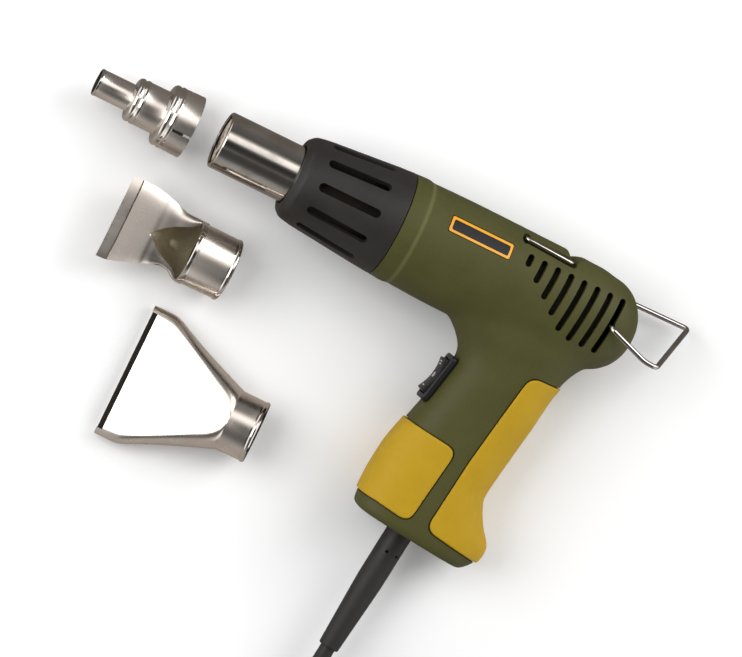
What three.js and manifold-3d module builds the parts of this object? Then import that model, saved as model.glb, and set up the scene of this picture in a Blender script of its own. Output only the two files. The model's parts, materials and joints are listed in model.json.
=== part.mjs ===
// A hot air tool lying on its right side, with three loose nozzles and its mains lead.
// Millimetres. In the tool's own frame x runs from the mouth of the outlet tube to the rear,
// y from the handle up to the top of the barrel, and z to the tool's left side, which faces up
// as the tool lies on a table.

import * as THREE from 'three';
import { mergeVertices } from 'three/addons/utils/BufferGeometryUtils.js';
import Module from 'manifold-3d';

const wasm = await Module();
wasm.setup();

// Fits
const CLEAR = 0.3; // gap between pieces that touch
const PARTING = 0.15; // half of the gap between the half shells
const RUN = 0.45; // running gap round a shaft
const MERGE = 1e-4;

// Outlet tube and heater
const TUBE_RADIUS = 12.3;
const TUBE_WALL = 0.9;
const TUBE_SEAT = 4.7; // how far the tube reaches into the housing
const TUBE_FLANGE = 16.6;
const TUBE_FLANGE_THICK = 1.6;
const CORE_SETBACK = 3;
const CORE_BEHIND = 15; // from the rear of the core to the rear of the tube
const CORE_HOLES = 7;
const CORE_HOLE_RADIUS = 2.1;
const CORE_HOLE_CIRCLE = 6.6;
const CORE_HOLE_TURN = 20;
const CORE_CENTRE_HOLE = 1.8;
const SLEEVE_WALL = 0.5;
const SLEEVE_PAST = 4; // how far the sleeve reaches past the core
const ELEMENT_RADIUS = 1.1;
const RING_BORE = 8;
const RING_THICK = 2;
const CUTOUT = { length: 6, width: 5, height: 3 };

// Heat guard
const GUARD_FRONT = 33.1;
const GUARD_NOSE = 15.7;
const GUARD_WALL = 2.4;
const GUARD_GAP = 0.7; // round the tube
const GUARD_CONE = [[2.5, 18], [7.6, 19], [38.1, 22]];
const GUARD_SPIGOT = 7;
const GUARD_SLOTS = 11;
const GUARD_SLOT = { start: 9, length: 27.5, width: 3.8, turn: 4 };

// Housing
const WALL = 2.4;
const BARREL_RADIUS = 22.6;
const HOUSING_FRONT = 79.3;
const REAR_END = 190.9;
// Stations of the barrel: x, how far the top, the bottom and the sides stand inside the barrel
// radius, and how square the section is (2 is round).
const BARREL = [
  [HOUSING_FRONT, 0, 0, 0, 2],
  [90, 0, -0.4, 0.1, 2.1],
  [110, 0, -1, 0.2, 2.25],
  [148, 0.4, -0.9, 0.3, 2.3],
  [160, 0.8, 0.2, 1, 2.3],
  [168, 1.1, 1.3, 2.2, 2.3],
  [173, 2.1, 2.8, 3.6, 2.3],
];
const BARREL_SIDES = 24;
const CAVITY = { sides: 16, every: 2 }; // the inside is shaped with fewer facets
const DOME_STEPS = 5;
// Stations of the handle: front x and y, rear x and y, half thickness less the grip's, squareness.
const HANDLE_HALF = 16.2;
const HANDLE = [
  [104, -2, 176, -2, 0.8, 2.4],
  [108.1, -14, 181.2, -14, 1.9, 2.4],
  [113.2, -21, 176.8, -20.5, 2.9, 2.4],
  [119.8, -25.5, 173.9, -25.5, 2.2, 2.4],
  [125.4, -31, 172, -31, 1.3, 2.5],
  [127.8, -37, 170.3, -38, 0.5, 2.6],
  [125.9, -48, 168.7, -50, 0, 2.7],
  [123.2, -60, 166.7, -62, -0.1, 2.8],
  [118.4, -78, 163.6, -82, 0, 3],
  [117, -86, 164.4, -88, 0.1, 3],
  [116.2, -95, 168.4, -95.5, 0.2, 3],
  [116.1, -103, 173.4, -102.4, 0.4, 3],
  [116.4, -107.2, 173.6, -108.8, 0.4, 3],
  [117.2, -109.6, 172.1, -113.5, 0, 3],
  [120, -110.9, 169, -116.06, -1.4, 3],
];
const HANDLE_SIDES = 20;
const BASE_FLOOR = 2.8;

// Air inlet slots in each side of the barrel
const VENTS = 8;
const VENT = { x: 133.8, top: 13, pitch: 6.2, width: 2.8, slant: 0.1, first: 10.4, step: 4.55, lowest: -9.6 };

// Grips let into the handle: corners as x, y and corner radius, as seen from the side
const GRIP_TOP = -60; // the handle touches the table below this height
const GRIP_PROUD = 0.8;
const GRIP_DEPTH = 1.2;
const FRONT_GRIP = [[106, -103.4, 0], [122, -104.4, 0], [137.4, -106.6, 5], [142.6, -71.6, 5], [119, -69, 0], [106, -67.6, 0]];
const REAR_GRIP = [[145.4, -106, 5], [168, -111.9, 0], [184, -114.3, 0], [184, -30.9, 0], [156.4, -30.9, 5], [149.4, -73, 0]];

// Label plate on the left side
const LABEL = { x: 97.4, y: 8.3, length: 27.7, height: 6.2, corner: 0.8, proud: 0.35, depth: 0.6 };

// Wire bails
const BAIL_WIRE = 1;
const BAIL_BEND = 2.2;
const HANG_PIVOT = [129.9, 19];
const HANG_BAR = [152, 18];
const HANG_SPREAD = 12.5;
const HANG_PIN = 6;
const NOTCH_FLOOR = 16.7;
const ROOF = 14.6; // underside of the thick roof that carries the hanging bail
const STAND_WIRE = 1.1;
const STAND_PIN = 7;
const STAND_NEAR = { y: 1.4, z: 20.2 };
const STAND_FAR = { y: 13.3, z: -16.6 };
const STAND_X = 176.9;
const STAND_ELBOW = [195.2, -4.8];
const STAND_NEAR_CORNER = [200.9, -5];
const STAND_FAR_CORNER = [214.4, 14.1];

// Blower
const GUIDE_WALL = 1.4;
const GUIDE_THROAT = 13.4;
const GUIDE_GAP = 0.7; // behind the spigot of the guard
const GUIDE_NECK = 7;
const GUIDE_FLARE = 6;
const GUIDE_RIM = 4;
const FAN_GAP = 2;
const FAN_RADIUS = 17.2;
const FAN_WIDTH = 13;
const FAN_BLADES = 9;
const FAN_HUB = 5;
const FAN_PLATE = 1.5;
const BLADE_THICK = 1.2;
const SHAFT_RADIUS = 1.5;
const MOTOR_GAP = 4;
const MOTOR_RADIUS = 12;
const MOTOR_LENGTH = 32;
const MOTOR_BOSS = 4;
const MOTOR_BOSS_LENGTH = 2;
const MOUNT_AT = 6;
const MOUNT_THICK = 4;
const MOUNT_WINDOWS = [0, 180, 270]; // where its air windows are, in degrees
const MOUNT_WINDOW = 30; // half angle of each window
const BOARD_THICK = 1.6;
const RECTIFIER = { size: 8, height: 4.5 };

// Switch, in its own frame: x up the handle, y out of the front, z to the left
const SWITCH_AT = [125.9, -48.9];
const SWITCH_TURN = 78.3; // degrees from the barrel to the front of the handle
const BEZEL = { length: 22, width: 15.2, thick: 2.6 };
const SWITCH_BODY = { length: 19, width: 12.8, depth: 16 };
const ROCKER = { radius: 8.5, half: 5.4, top: 4.5, dish: 1.5, pivot: 0.9, below: 2.2, room: 2.5 };
const ROCKER_PIN = 0.8;
const ROCKER_PIN_LENGTH = 1;
const TERMINAL = { thick: 0.8, width: 4.8, length: 7, pitch: 6 };

// Screws
const SCREW = { head: 2.1, headDeep: 1.8, shank: 1.1, seat: 5, reach: 8, boss: 3 };
const SCREWS = [[90, 17], [90, -17], [166, -20], [136.6, -66.2], [150.6, -111.2]];

// Mains lead, its sleeve and its clamp
const CORD_RADIUS = 3.3;
const CORD_SIDES = 8;
const EXIT_AT = [139.6, -112.96];
const EXIT_SLANT = 5.6; // degrees from straight down the handle
const RELIEF = { radius: 5.75, straight: 24, length: 56, tip: 4.4, flange: 8, flangeThick: 3 };
const CLAMP = { up: 16, length: 24, width: 8, thick: 3, screw: 8.2 };
const CORD_INSIDE = 30;
const LEAD_WIRE = 0.9;
const LEAD_STRAIGHT = 8;
const LIVE_BEND = [152.5, -66, 0.6];
const NEUTRAL_BENDS = [[157, -60, -3.5], [160.5, -40, -4]];
const NEUTRAL_RISE = 12; // below the board, where the neutral lead turns up

// The lead on the table, in the table's frame: hand chosen points from the sleeve to the coil
const LEAD_POINTS = [
  [132.7, -182.3, 11.2], [131.7, -190.6, 9], [130.9, -199.2, 6.9], [130.3, -208.1, 5.3],
];
const COIL_START = [130, -217];
const COIL_INNER = 26.6;
const COIL_TURNS = 7.25;
const COIL_PITCH = 7.3;
const COIL_LIFT = 1.4; // the coil rests on its tie
const COIL_STEPS = 24;
const COIL_SIDES = 6;
const TIE = { thick: 0.9, width: 8, gap: 0.8, turn: 62 };
const TAIL_OUT = 5; // how far the tail swings outside the coil
const TAIL_TURN = 62; // degrees that the tail follows the coil
const TAIL_STEPS = 9;
const PLUG = { length: 34, width: 35.3, neck: 16, thick: 13.7, relief: 14, reliefRadius: 5.2 };
const PIN = { radius: 2, length: 19, spread: 9.3 };

// Nozzles
const NOZZLE_WALL = 0.8;
const NOZZLE_FIT = 0.4; // how much wider the bore of a nozzle is than the tube
const NOZZLE_BASE = 17.5;
const REDUCER = { middle: 9.5, tip: 5.85, base: 14, middleLength: 14.2, tipLength: 14.8, shoulder: 2.2 };
const REDUCER_AT = [-54.4, -0.8];
const REDUCER_SLIT = { length: 9, width: 1.3, turn: 20 };
const REFLECTOR_AT = [10.9, -46.6];
// Stations of the scoop: distance from the base, half width, height of its floor and of its edges
// above the floor of the base.
const SCOOP = [
  [-2, 13.1, 0.4, 13.5],
  [1.6, 13.1, 0.4, 13.5],
  [5, 10.9, 0.2, 12.9],
  [8.5, 11.2, 0.6, 12.2],
  [11, 12.3, 3.6, 11.8],
  [14, 13.7, 7.6, 11.9],
  [19, 15.8, 11, 13.6],
  [25, 17.4, 13.6, 15.4],
  [30.5, 18, 15.6, 16.9],
  [35, 18.2, 14.9, 16.1],
];
const SCOOP_SIDES = 10;
const SCOOP_LAP = 1.2; // how far the base reaches over the scoop
const SCOOP_DEEP = 5; // a section this deep is a trough, a shallower one a panel
const SLOT_NOZZLE_AT = [67.9, -101.6];
// Stations of the wide nozzle: distance from the rear of its base, half width, half height,
// squareness.
const FISHTAIL = [
  [18.6, 16, 12.6, 2.1],
  [28.5, 19.8, 9.4, 2.5],
  [38.7, 24.2, 6.6, 3.2],
  [49, 28.7, 4.4, 4.4],
  [54, 29.2, 3.7, 5.5],
  [60.2, 29.3, 3.4, 6],
];
const FISHTAIL_SIDES = 20;

// Finishes
const OLIVE = { color: 0x565830, roughness: 0.55, metalness: 0 };
const OCHRE = { color: 0xbc9b2d, roughness: 0.7, metalness: 0 };
const BLACK = { color: 0x2d2b2b, roughness: 0.55, metalness: 0 };
const STEEL = { color: 0xb0a79d, roughness: 0.2, metalness: 1 };
const ZINC = { color: 0x9a9a96, roughness: 0.4, metalness: 1 };
const CERAMIC = { color: 0xcdbfb4, roughness: 0.8, metalness: 0 };
const MICA = { color: 0xb6a27a, roughness: 0.6, metalness: 0 };
const BRASS = { color: 0xb8964a, roughness: 0.35, metalness: 1 };
const BOARD = { color: 0x2f5a3a, roughness: 0.6, metalness: 0 };
const PALE = { color: 0xd8d4c8, roughness: 0.6, metalness: 0 };
const LABEL_FINISH = { color: 0xd9a02c, roughness: 0.4, metalness: 0 };

const radians = THREE.MathUtils.degToRad;

// Solids: closed geometries that can be cut and joined

// Shared vertices merged, collapsed triangles dropped and the faces turned outwards.
function closed(geometry) {
  const bare = new THREE.BufferGeometry();
  bare.setAttribute('position', geometry.getAttribute('position').clone());
  if (geometry.index) bare.setIndex(geometry.index.clone());
  const merged = mergeVertices(bare, MERGE);
  const places = merged.getAttribute('position');
  const corner = [new THREE.Vector3(), new THREE.Vector3(), new THREE.Vector3()];
  const kept = [];
  let volume = 0;
  for (let i = 0; i < merged.index.count; i += 3) {
    const used = [0, 1, 2].map((k) => merged.index.getX(i + k));
    if (new Set(used).size < 3) continue;
    kept.push(...used);
    used.forEach((index, k) => corner[k].fromBufferAttribute(places, index));
    volume += corner[0].dot(corner[1].cross(corner[2]));
  }
  if (volume < 0) kept.reverse();
  merged.setIndex(kept);
  return merged;
}

function solid(geometry) {
  const ready = closed(geometry);
  return new wasm.Manifold(new wasm.Mesh({
    numProp: 3,
    vertProperties: new Float32Array(ready.getAttribute('position').array),
    triVerts: new Uint32Array(ready.index.array),
  }));
}

function geometryOf(body) {
  const mesh = body.getMesh();
  const geometry = new THREE.BufferGeometry();
  geometry.setAttribute('position', new THREE.BufferAttribute(mesh.vertProperties, 3));
  geometry.setIndex(new THREE.BufferAttribute(mesh.triVerts, 1));
  return geometry;
}

function piece(name, shape, finish) {
  const geometry = shape.isBufferGeometry ? closed(shape) : geometryOf(shape);
  const mesh = new THREE.Mesh(geometry, new THREE.MeshStandardMaterial(finish));
  mesh.name = name;
  return mesh;
}

// A block between two corners.
function block(low, high) {
  const size = high.map((value, k) => value - low[k]);
  const box = new THREE.BoxGeometry(...size);
  return solid(box.translate(...low.map((value, k) => value + size[k] / 2)));
}

// A profile of [x, radius] points turned about the x axis.
function turned(profile, segments) {
  const points = profile.map(([x, radius]) => new THREE.Vector2(radius, x));
  return new THREE.LatheGeometry(points, segments).rotateZ(-Math.PI / 2);
}

function ring(profile, segments) {
  return turned([...profile, profile[0]], segments);
}

// A round bar along x, from x0 to x1.
function bar(x0, x1, radius, segments) {
  return turned([[x0, 0], [x0, radius], [x1, radius], [x1, 0]], segments);
}

// A round bar along z at a place in the side view.
function crossBar(x, y, z0, z1, radius, segments) {
  return bar(z0, z1, radius, segments).rotateY(-Math.PI / 2).translate(x, y, 0);
}

// A side view outline carried across the tool from z0 to z1.
function prism(shape, z0, z1, curveSegments = 4) {
  const options = { depth: z1 - z0, bevelEnabled: false, curveSegments };
  return solid(new THREE.ExtrudeGeometry(shape, options).translate(0, 0, z0));
}

// Rings of points joined into a closed skin with flat ends. A ring that runs out along a sheet and
// back along its other face has its ends closed straight across the sheet.
function loft(rings, sheet = false) {
  const count = rings[0].length;
  const places = rings.flat().flatMap((point) => point.toArray());
  const faces = [];
  for (let i = 0; i + 1 < rings.length; i += 1) {
    for (let j = 0; j < count; j += 1) {
      const [a, b] = [i * count + j, i * count + ((j + 1) % count)];
      faces.push(a, b, b + count, a, b + count, a + count);
    }
  }
  for (const [end, flip] of [[0, true], [rings.length - 1, false]]) {
    if (sheet) {
      for (let j = 0; j < count / 2 - 1; j += 1) {
        const [a, b, c, d] = [j, j + 1, count - 2 - j, count - 1 - j].map((k) => end * count + k);
        faces.push(...(flip ? [a, c, b, a, d, c] : [a, b, c, a, c, d]));
      }
      continue;
    }
    const middle = new THREE.Vector3();
    rings[end].forEach((point) => middle.addScaledVector(point, 1 / count));
    const hub = places.length / 3;
    places.push(...middle.toArray());
    for (let j = 0; j < count; j += 1) {
      const [a, b] = [end * count + j, end * count + ((j + 1) % count)];
      faces.push(hub, ...(flip ? [b, a] : [a, b]));
    }
  }
  const geometry = new THREE.BufferGeometry();
  geometry.setAttribute('position', new THREE.Float32BufferAttribute(places, 3));
  geometry.setIndex(faces);
  return geometry;
}

const power = (value, square) => Math.sign(value) * Math.abs(value) ** (2 / square);

// Points round an oval: a circle where square is 2, boxier above it.
function oval(count, square, place) {
  return Array.from({ length: count }, (_, j) => {
    const turn = (2 * Math.PI * j) / count;
    return place(power(Math.cos(turn), square), power(Math.sin(turn), square));
  });
}

// A route whose steps fall on its own points.
class Route extends THREE.Curve {
  constructor(points) {
    super();
    this.points = points;
  }

  getPoint(t) {
    const at = t * (this.points.length - 1);
    const k = Math.min(Math.floor(at), this.points.length - 2);
    return this.points[k].clone().lerp(this.points[k + 1], at - k);
  }

  getPointAt(t) {
    return this.getPoint(t);
  }

  getTangent(t) {
    const last = this.points.length - 1;
    const k = Math.round(t * last);
    return this.points[Math.min(k + 1, last)].clone().sub(this.points[Math.max(k - 1, 0)]).normalize();
  }

  getTangentAt(t) {
    return this.getTangent(t);
  }
}

function tube(points, radius, sides) {
  const outline = Array.from({ length: sides }, (_, j) => {
    const turn = (2 * Math.PI * j) / sides;
    return new THREE.Vector2(radius * Math.cos(turn), radius * Math.sin(turn));
  });
  return new THREE.ExtrudeGeometry(new THREE.Shape(outline), {
    steps: points.length - 1,
    bevelEnabled: false,
    extrudePath: new Route(points),
  });
}

const vector = (point) => new THREE.Vector3(...point);

// Corners of a bent wire, each rounded with a short curve.
function bent(corners, radius, steps = 3) {
  const points = corners.map(vector);
  const path = [points[0]];
  for (let k = 1; k + 1 < points.length; k += 1) {
    const back = points[k - 1].clone().sub(points[k]);
    const on = points[k + 1].clone().sub(points[k]);
    const from = points[k].clone().addScaledVector(back.clone().normalize(), Math.min(radius, back.length() * 0.48));
    const to = points[k].clone().addScaledVector(on.clone().normalize(), Math.min(radius, on.length() * 0.48));
    path.push(...new THREE.QuadraticBezierCurve3(from, points[k], to).getPoints(steps));
  }
  path.push(points.at(-1));
  return path;
}

// An outline of [x, y, corner radius] points, all corners moved outwards by grow.
function rounded(corners, grow = 0) {
  const count = corners.length;
  const edges = corners.map(([x, y], k) => {
    const [nextX, nextY] = corners[(k + 1) % count];
    const along = new THREE.Vector2(nextX - x, nextY - y).normalize();
    const out = new THREE.Vector2(along.y, -along.x);
    return { from: new THREE.Vector2(x, y).addScaledVector(out, grow), along };
  });
  const moved = edges.map((edge, k) => {
    const before = edges[(k + count - 1) % count];
    const gap = edge.from.clone().sub(before.from);
    const reach = gap.cross(edge.along) / before.along.cross(edge.along);
    return before.from.clone().addScaledVector(before.along, reach);
  });
  const shape = new THREE.Shape();
  moved.forEach((corner, k) => {
    const radius = corners[k][2];
    const back = edges[(k + count - 1) % count].along;
    const start = corner.clone().addScaledVector(back, -radius);
    const end = corner.clone().addScaledVector(edges[k].along, radius);
    if (k === 0) shape.moveTo(start.x, start.y);
    else shape.lineTo(start.x, start.y);
    if (radius > 0) shape.quadraticCurveTo(corner.x, corner.y, end.x, end.y);
  });
  shape.closePath();
  return shape;
}

function pill(x0, y0, x1, y1, width) {
  const along = new THREE.Vector2(x1 - x0, y1 - y0).normalize();
  const start = Math.atan2(along.y, along.x) + Math.PI / 2;
  const shape = new THREE.Shape();
  shape.absarc(x0, y0, width / 2, start, start + Math.PI, false);
  shape.absarc(x1, y1, width / 2, start + Math.PI, start + 2 * Math.PI, false);
  shape.closePath();
  return shape;
}

// Forms that the housing and what is let into it share

// The barrel with its rounded rear end, grown outwards by grow, starting at x = front.
function barrel(grow, front, { sides, every } = { sides: BARREL_SIDES, every: 1 }) {
  const section = (x, top, bottom, side, square, share) => oval(sides, square, (across, out) => (
    new THREE.Vector3(
      x,
      share * ((top - bottom) / 2 + ((top + bottom) / 2) * across),
      share * side * out,
    )
  ));
  const sizes = BARREL.filter((_, k) => k % every === 0).map(([x, top, bottom, side, square]) => [
    x, BARREL_RADIUS - top + grow, BARREL_RADIUS - bottom + grow, BARREL_RADIUS - side + grow, square,
  ]);
  const rings = sizes.map((size, k) => section(k === 0 ? front : size[0], ...size.slice(1), 1));
  const [start, ...dome] = sizes.at(-1);
  for (let k = 1; k <= DOME_STEPS; k += 1) {
    const turn = (0.985 * Math.PI * k) / (2 * DOME_STEPS);
    rings.push(section(start + (REAR_END + grow - start) * Math.sin(turn), ...dome, Math.cos(turn)));
  }
  return solid(loft(rings));
}

function handle(grow, { sides, every } = { sides: HANDLE_SIDES, every: 1 }) {
  return solid(loft(HANDLE.filter((_, k) => k % every === 0).map(([frontX, frontY, rearX, rearY, extra, square]) => {
    const front = new THREE.Vector3(frontX, frontY, 0);
    const along = new THREE.Vector3(rearX, rearY, 0).sub(front);
    const half = along.length() / 2 + grow;
    const middle = front.addScaledVector(along, 0.5);
    along.normalize();
    const thick = HANDLE_HALF + extra + grow;
    return oval(sides, square, (across, out) => (
      middle.clone().addScaledVector(along, half * across).add(new THREE.Vector3(0, 0, thick * out))
    ));
  })));
}

const FAR = 300;
const leftOf = (z) => block([-FAR, -FAR, z], [FAR, FAR, FAR]);
const rightOf = (z) => block([-FAR, -FAR, -FAR], [FAR, FAR, z]);
const sideOf = (side, z) => (side > 0 ? leftOf(z) : rightOf(-z));

const [baseFrontX, baseFrontY, baseRearX, baseRearY] = HANDLE.at(-1);
const baseSlope = Math.atan2(baseRearY - baseFrontY, baseRearX - baseFrontX);

// Everything below the inner floor of the handle.
const floorSlab = solid(new THREE.BoxGeometry(FAR, FAR, FAR)
  .translate(0, BASE_FLOOR - FAR / 2, 0)
  .rotateZ(baseSlope)
  .translate(baseFrontX, baseFrontY, 0));

const tool = new THREE.Group();

// Outlet tube: drawn steel with a rounded lip, and the ring behind it that the guard clamps

const tubeLength = HOUSING_FRONT + TUBE_SEAT;
const tubeBore = TUBE_RADIUS - TUBE_WALL;
tool.add(piece('nozzle_tube', ring([
  [0, tubeBore + 0.1], [0, TUBE_RADIUS - 0.35], [0.5, TUBE_RADIUS],
  [tubeLength, TUBE_RADIUS], [tubeLength, tubeBore], [0.6, tubeBore],
], 28), STEEL));
const flangeFront = tubeLength - TUBE_FLANGE_THICK;
const flangeBore = TUBE_RADIUS + CLEAR;
tool.add(piece('tube_flange', ring([
  [flangeFront, flangeBore], [flangeFront, TUBE_FLANGE], [tubeLength, TUBE_FLANGE], [tubeLength, flangeBore],
], 24), ZINC));

// Heater: mica sleeve, holed ceramic core, resistance wire, terminal ring and thermal cut-out

const sleeveOuter = tubeBore - CLEAR;
const sleeveInner = sleeveOuter - SLEEVE_WALL;
const coreRadius = sleeveInner - CLEAR;
const coreEnd = tubeLength - CORE_BEHIND;
const sleeveEnd = coreEnd + SLEEVE_PAST;
tool.add(piece('mica_sleeve', ring([
  [CORE_SETBACK - 1, sleeveInner], [CORE_SETBACK - 1, sleeveOuter], [sleeveEnd, sleeveOuter], [sleeveEnd, sleeveInner],
], 20), MICA));

const holeTurn = (k) => radians(CORE_HOLE_TURN) + (2 * Math.PI * k) / CORE_HOLES;
const holeAt = (k) => [CORE_HOLE_CIRCLE * Math.cos(holeTurn(k)), CORE_HOLE_CIRCLE * Math.sin(holeTurn(k))];
let core = solid(bar(CORE_SETBACK, coreEnd, coreRadius, 20));
core = core.subtract(solid(bar(CORE_SETBACK - 1, coreEnd + 1, CORE_CENTRE_HOLE, 8)));
for (let k = 0; k < CORE_HOLES; k += 1) {
  const hole = bar(CORE_SETBACK - 1, coreEnd + 1, CORE_HOLE_RADIUS, 8).translate(0, ...holeAt(k));
  core = core.subtract(solid(hole));
}
tool.add(piece('heater_core', core, CERAMIC));

// The wire runs back and forth through the holes, turning round just outside the core.
const turnOut = ELEMENT_RADIUS + CLEAR;
const wireEnds = [CORE_SETBACK - turnOut, coreEnd + turnOut];
const wirePoints = [];
for (let k = 0; k < CORE_HOLES; k += 1) {
  const run = k % 2 === 0 ? [...wireEnds].reverse() : wireEnds;
  run.forEach((x) => wirePoints.push([x, ...holeAt(k)]));
}
tool.add(piece('heating_element', tube(bent(wirePoints, 1.6, 2), ELEMENT_RADIUS, 5), ZINC));

const ringFront = sleeveEnd + CLEAR;
const ringBack = ringFront + RING_THICK;
tool.add(piece('terminal_ring', ring([
  [ringFront, RING_BORE], [ringFront, sleeveOuter], [ringBack, sleeveOuter], [ringBack, RING_BORE],
], 20), CERAMIC));

const cutoutLow = (RING_BORE + sleeveOuter) / 2 - CUTOUT.height / 2;
tool.add(piece('thermal_cutout', block(
  [ringBack + CLEAR, cutoutLow, -CUTOUT.width / 2],
  [ringBack + CLEAR + CUTOUT.length, cutoutLow + CUTOUT.height, CUTOUT.width / 2],
), ZINC));

// Heat guard: one moulding, a slotted cone with a spigot that the half shells close on

const guardEnd = HOUSING_FRONT - CLEAR;
const spigotRadius = BARREL_RADIUS - WALL - CLEAR;
const guardHole = TUBE_RADIUS + GUARD_GAP;
const flangeSeat = TUBE_FLANGE + CLEAR;
const guardOuter = GUARD_CONE.map(([along, radius]) => [GUARD_FRONT + along, radius]);
const guardInner = guardOuter.slice(1).map(([x, radius]) => [x + 1, radius - GUARD_WALL]).reverse();
let guard = solid(ring([
  [GUARD_FRONT, guardHole], [GUARD_FRONT, GUARD_NOSE], ...guardOuter, [guardEnd, BARREL_RADIUS],
  [guardEnd, spigotRadius], [guardEnd + GUARD_SPIGOT, spigotRadius], [guardEnd + GUARD_SPIGOT, flangeSeat],
  [flangeFront - CLEAR, flangeSeat], [flangeFront - CLEAR, guardHole],
  [guardEnd - 2, guardHole], ...guardInner, [GUARD_FRONT + GUARD_WALL, guardHole],
], 3 * GUARD_SLOTS));
const slotStart = GUARD_FRONT + GUARD_SLOT.start + GUARD_SLOT.width / 2;
const slotEnd = GUARD_FRONT + GUARD_SLOT.start + GUARD_SLOT.length - GUARD_SLOT.width / 2;
const guardSlot = pill(slotStart, 0, slotEnd, 0, GUARD_SLOT.width);
for (let k = 0; k < GUARD_SLOTS; k += 1) {
  const turn = radians(GUARD_SLOT.turn) + (2 * Math.PI * k) / GUARD_SLOTS;
  const options = { depth: BARREL_RADIUS, bevelEnabled: false, curveSegments: 1 };
  const cutter = new THREE.ExtrudeGeometry(guardSlot, options).translate(0, 0, guardHole).rotateX(-turn);
  guard = guard.subtract(solid(cutter));
}
tool.add(piece('heat_guard', guard, BLACK));

// Blower: funnel, fan on its shaft, motor in a spider, rectifier board behind the motor

const guideRim = BARREL_RADIUS - WALL - 2 * CLEAR;
const guideFront = guardEnd + GUARD_SPIGOT + GUIDE_GAP;
const guideNeck = guideFront + GUIDE_NECK;
const guideEnd = guideNeck + GUIDE_FLARE + GUIDE_RIM;
tool.add(piece('air_guide', ring([
  [guideFront, GUIDE_THROAT - GUIDE_WALL], [guideFront, GUIDE_THROAT], [guideNeck, GUIDE_THROAT],
  [guideEnd - GUIDE_RIM, guideRim], [guideEnd, guideRim], [guideEnd, guideRim - GUIDE_WALL],
  [guideEnd - GUIDE_RIM + GUIDE_WALL / 2, guideRim - GUIDE_WALL],
  [guideNeck + GUIDE_WALL / 2, GUIDE_THROAT - GUIDE_WALL],
], 24), BLACK));

const fanFront = guideEnd + FAN_GAP;
const fanBack = fanFront + FAN_WIDTH;
const hubBore = SHAFT_RADIUS + CLEAR;
let fan = solid(ring([
  [fanFront, hubBore], [fanFront, FAN_HUB], [fanBack - FAN_PLATE, FAN_HUB], [fanBack - FAN_PLATE, FAN_RADIUS],
  [fanBack, FAN_RADIUS], [fanBack, hubBore],
], 2 * FAN_BLADES));
for (let k = 0; k < FAN_BLADES; k += 1) {
  const blade = new THREE.BoxGeometry(FAN_WIDTH - FAN_PLATE, FAN_RADIUS - FAN_HUB, BLADE_THICK);
  blade.translate(fanFront + FAN_WIDTH / 2, FAN_HUB - 0.4 + (FAN_RADIUS - FAN_HUB) / 2, FAN_HUB * 0.4);
  fan = fan.add(solid(blade.rotateX((2 * Math.PI * k) / FAN_BLADES)));
}
tool.add(piece('fan_impeller', fan, BLACK));

const motorFront = fanBack + MOTOR_GAP;
const motorBack = motorFront + MOTOR_LENGTH;
const bearingBore = SHAFT_RADIUS + RUN;
tool.add(piece('motor_can', ring([
  [motorFront - MOTOR_BOSS_LENGTH, bearingBore], [motorFront - MOTOR_BOSS_LENGTH, MOTOR_BOSS], [motorFront, MOTOR_BOSS],
  [motorFront, MOTOR_RADIUS - 1], [motorFront + 1, MOTOR_RADIUS], [motorBack, MOTOR_RADIUS], [motorBack, bearingBore],
], 20), ZINC));
tool.add(piece('motor_shaft', bar(fanFront - 1.5, motorBack - 1, SHAFT_RADIUS, 10), STEEL));

// The space inside the half shells, without the thick roof over the motor.
const roofBlock = block([HANG_PIVOT[0] - 4, ROOF, -FAR], [HANG_BAR[0] + 6, FAR, FAR]);
const handleSpace = handle(-WALL, CAVITY).subtract(floorSlab);
const cavity = barrel(-WALL, HOUSING_FRONT - 10, CAVITY).add(handleSpace).subtract(roofBlock);

const mountFront = motorFront + MOUNT_AT;
const innerBarrel = barrel(-WALL - CLEAR, HOUSING_FRONT, CAVITY).subtract(block(
  [HANG_PIVOT[0] - 4 - CLEAR, ROOF - CLEAR, -FAR], [HANG_BAR[0] + 6 + CLEAR, FAR, FAR],
));
let mount = innerBarrel.intersect(block([mountFront, -FAR, -FAR], [mountFront + MOUNT_THICK, FAR, FAR]));
mount = mount.subtract(solid(bar(mountFront - 1, mountFront + MOUNT_THICK + 1, MOTOR_RADIUS + CLEAR, 20)));
const windowInner = MOTOR_RADIUS + CLEAR + 1.6;
const windowOuter = BARREL_RADIUS - WALL - CLEAR - 2.6;
for (const middle of MOUNT_WINDOWS) {
  const window = new THREE.Shape();
  window.absarc(0, 0, windowOuter, radians(middle - MOUNT_WINDOW), radians(middle + MOUNT_WINDOW), false);
  window.absarc(0, 0, windowInner, radians(middle + MOUNT_WINDOW), radians(middle - MOUNT_WINDOW), true);
  const options = { depth: MOUNT_THICK + 2, bevelEnabled: false, curveSegments: 6 };
  const cutter = new THREE.ExtrudeGeometry(window, options).rotateX(Math.PI / 2).rotateZ(Math.PI / 2);
  mount = mount.subtract(solid(cutter.translate(mountFront + MOUNT_THICK + 1, 0, 0)));
}
tool.add(piece('motor_mount', mount, BLACK));

const boardFront = motorBack + CLEAR;
const boardBack = boardFront + BOARD_THICK;
const rectifierHalf = RECTIFIER.size / 2;
const board = solid(bar(boardFront, boardBack, MOTOR_RADIUS, 20))
  .add(block(
    [boardBack - BOARD_THICK / 2, -rectifierHalf, -rectifierHalf],
    [boardBack + RECTIFIER.height, rectifierHalf, rectifierHalf],
  ));
tool.add(piece('rectifier_board', board, BOARD));

// Switch: body with bezel, rocker on two pins, three blade terminals

const switchFrame = new THREE.Group();
switchFrame.position.set(...SWITCH_AT, 0);
switchFrame.rotation.z = radians(SWITCH_TURN);
const inSwitchFrame = (geometry) => geometry.rotateZ(radians(SWITCH_TURN)).translate(...SWITCH_AT, 0);

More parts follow.
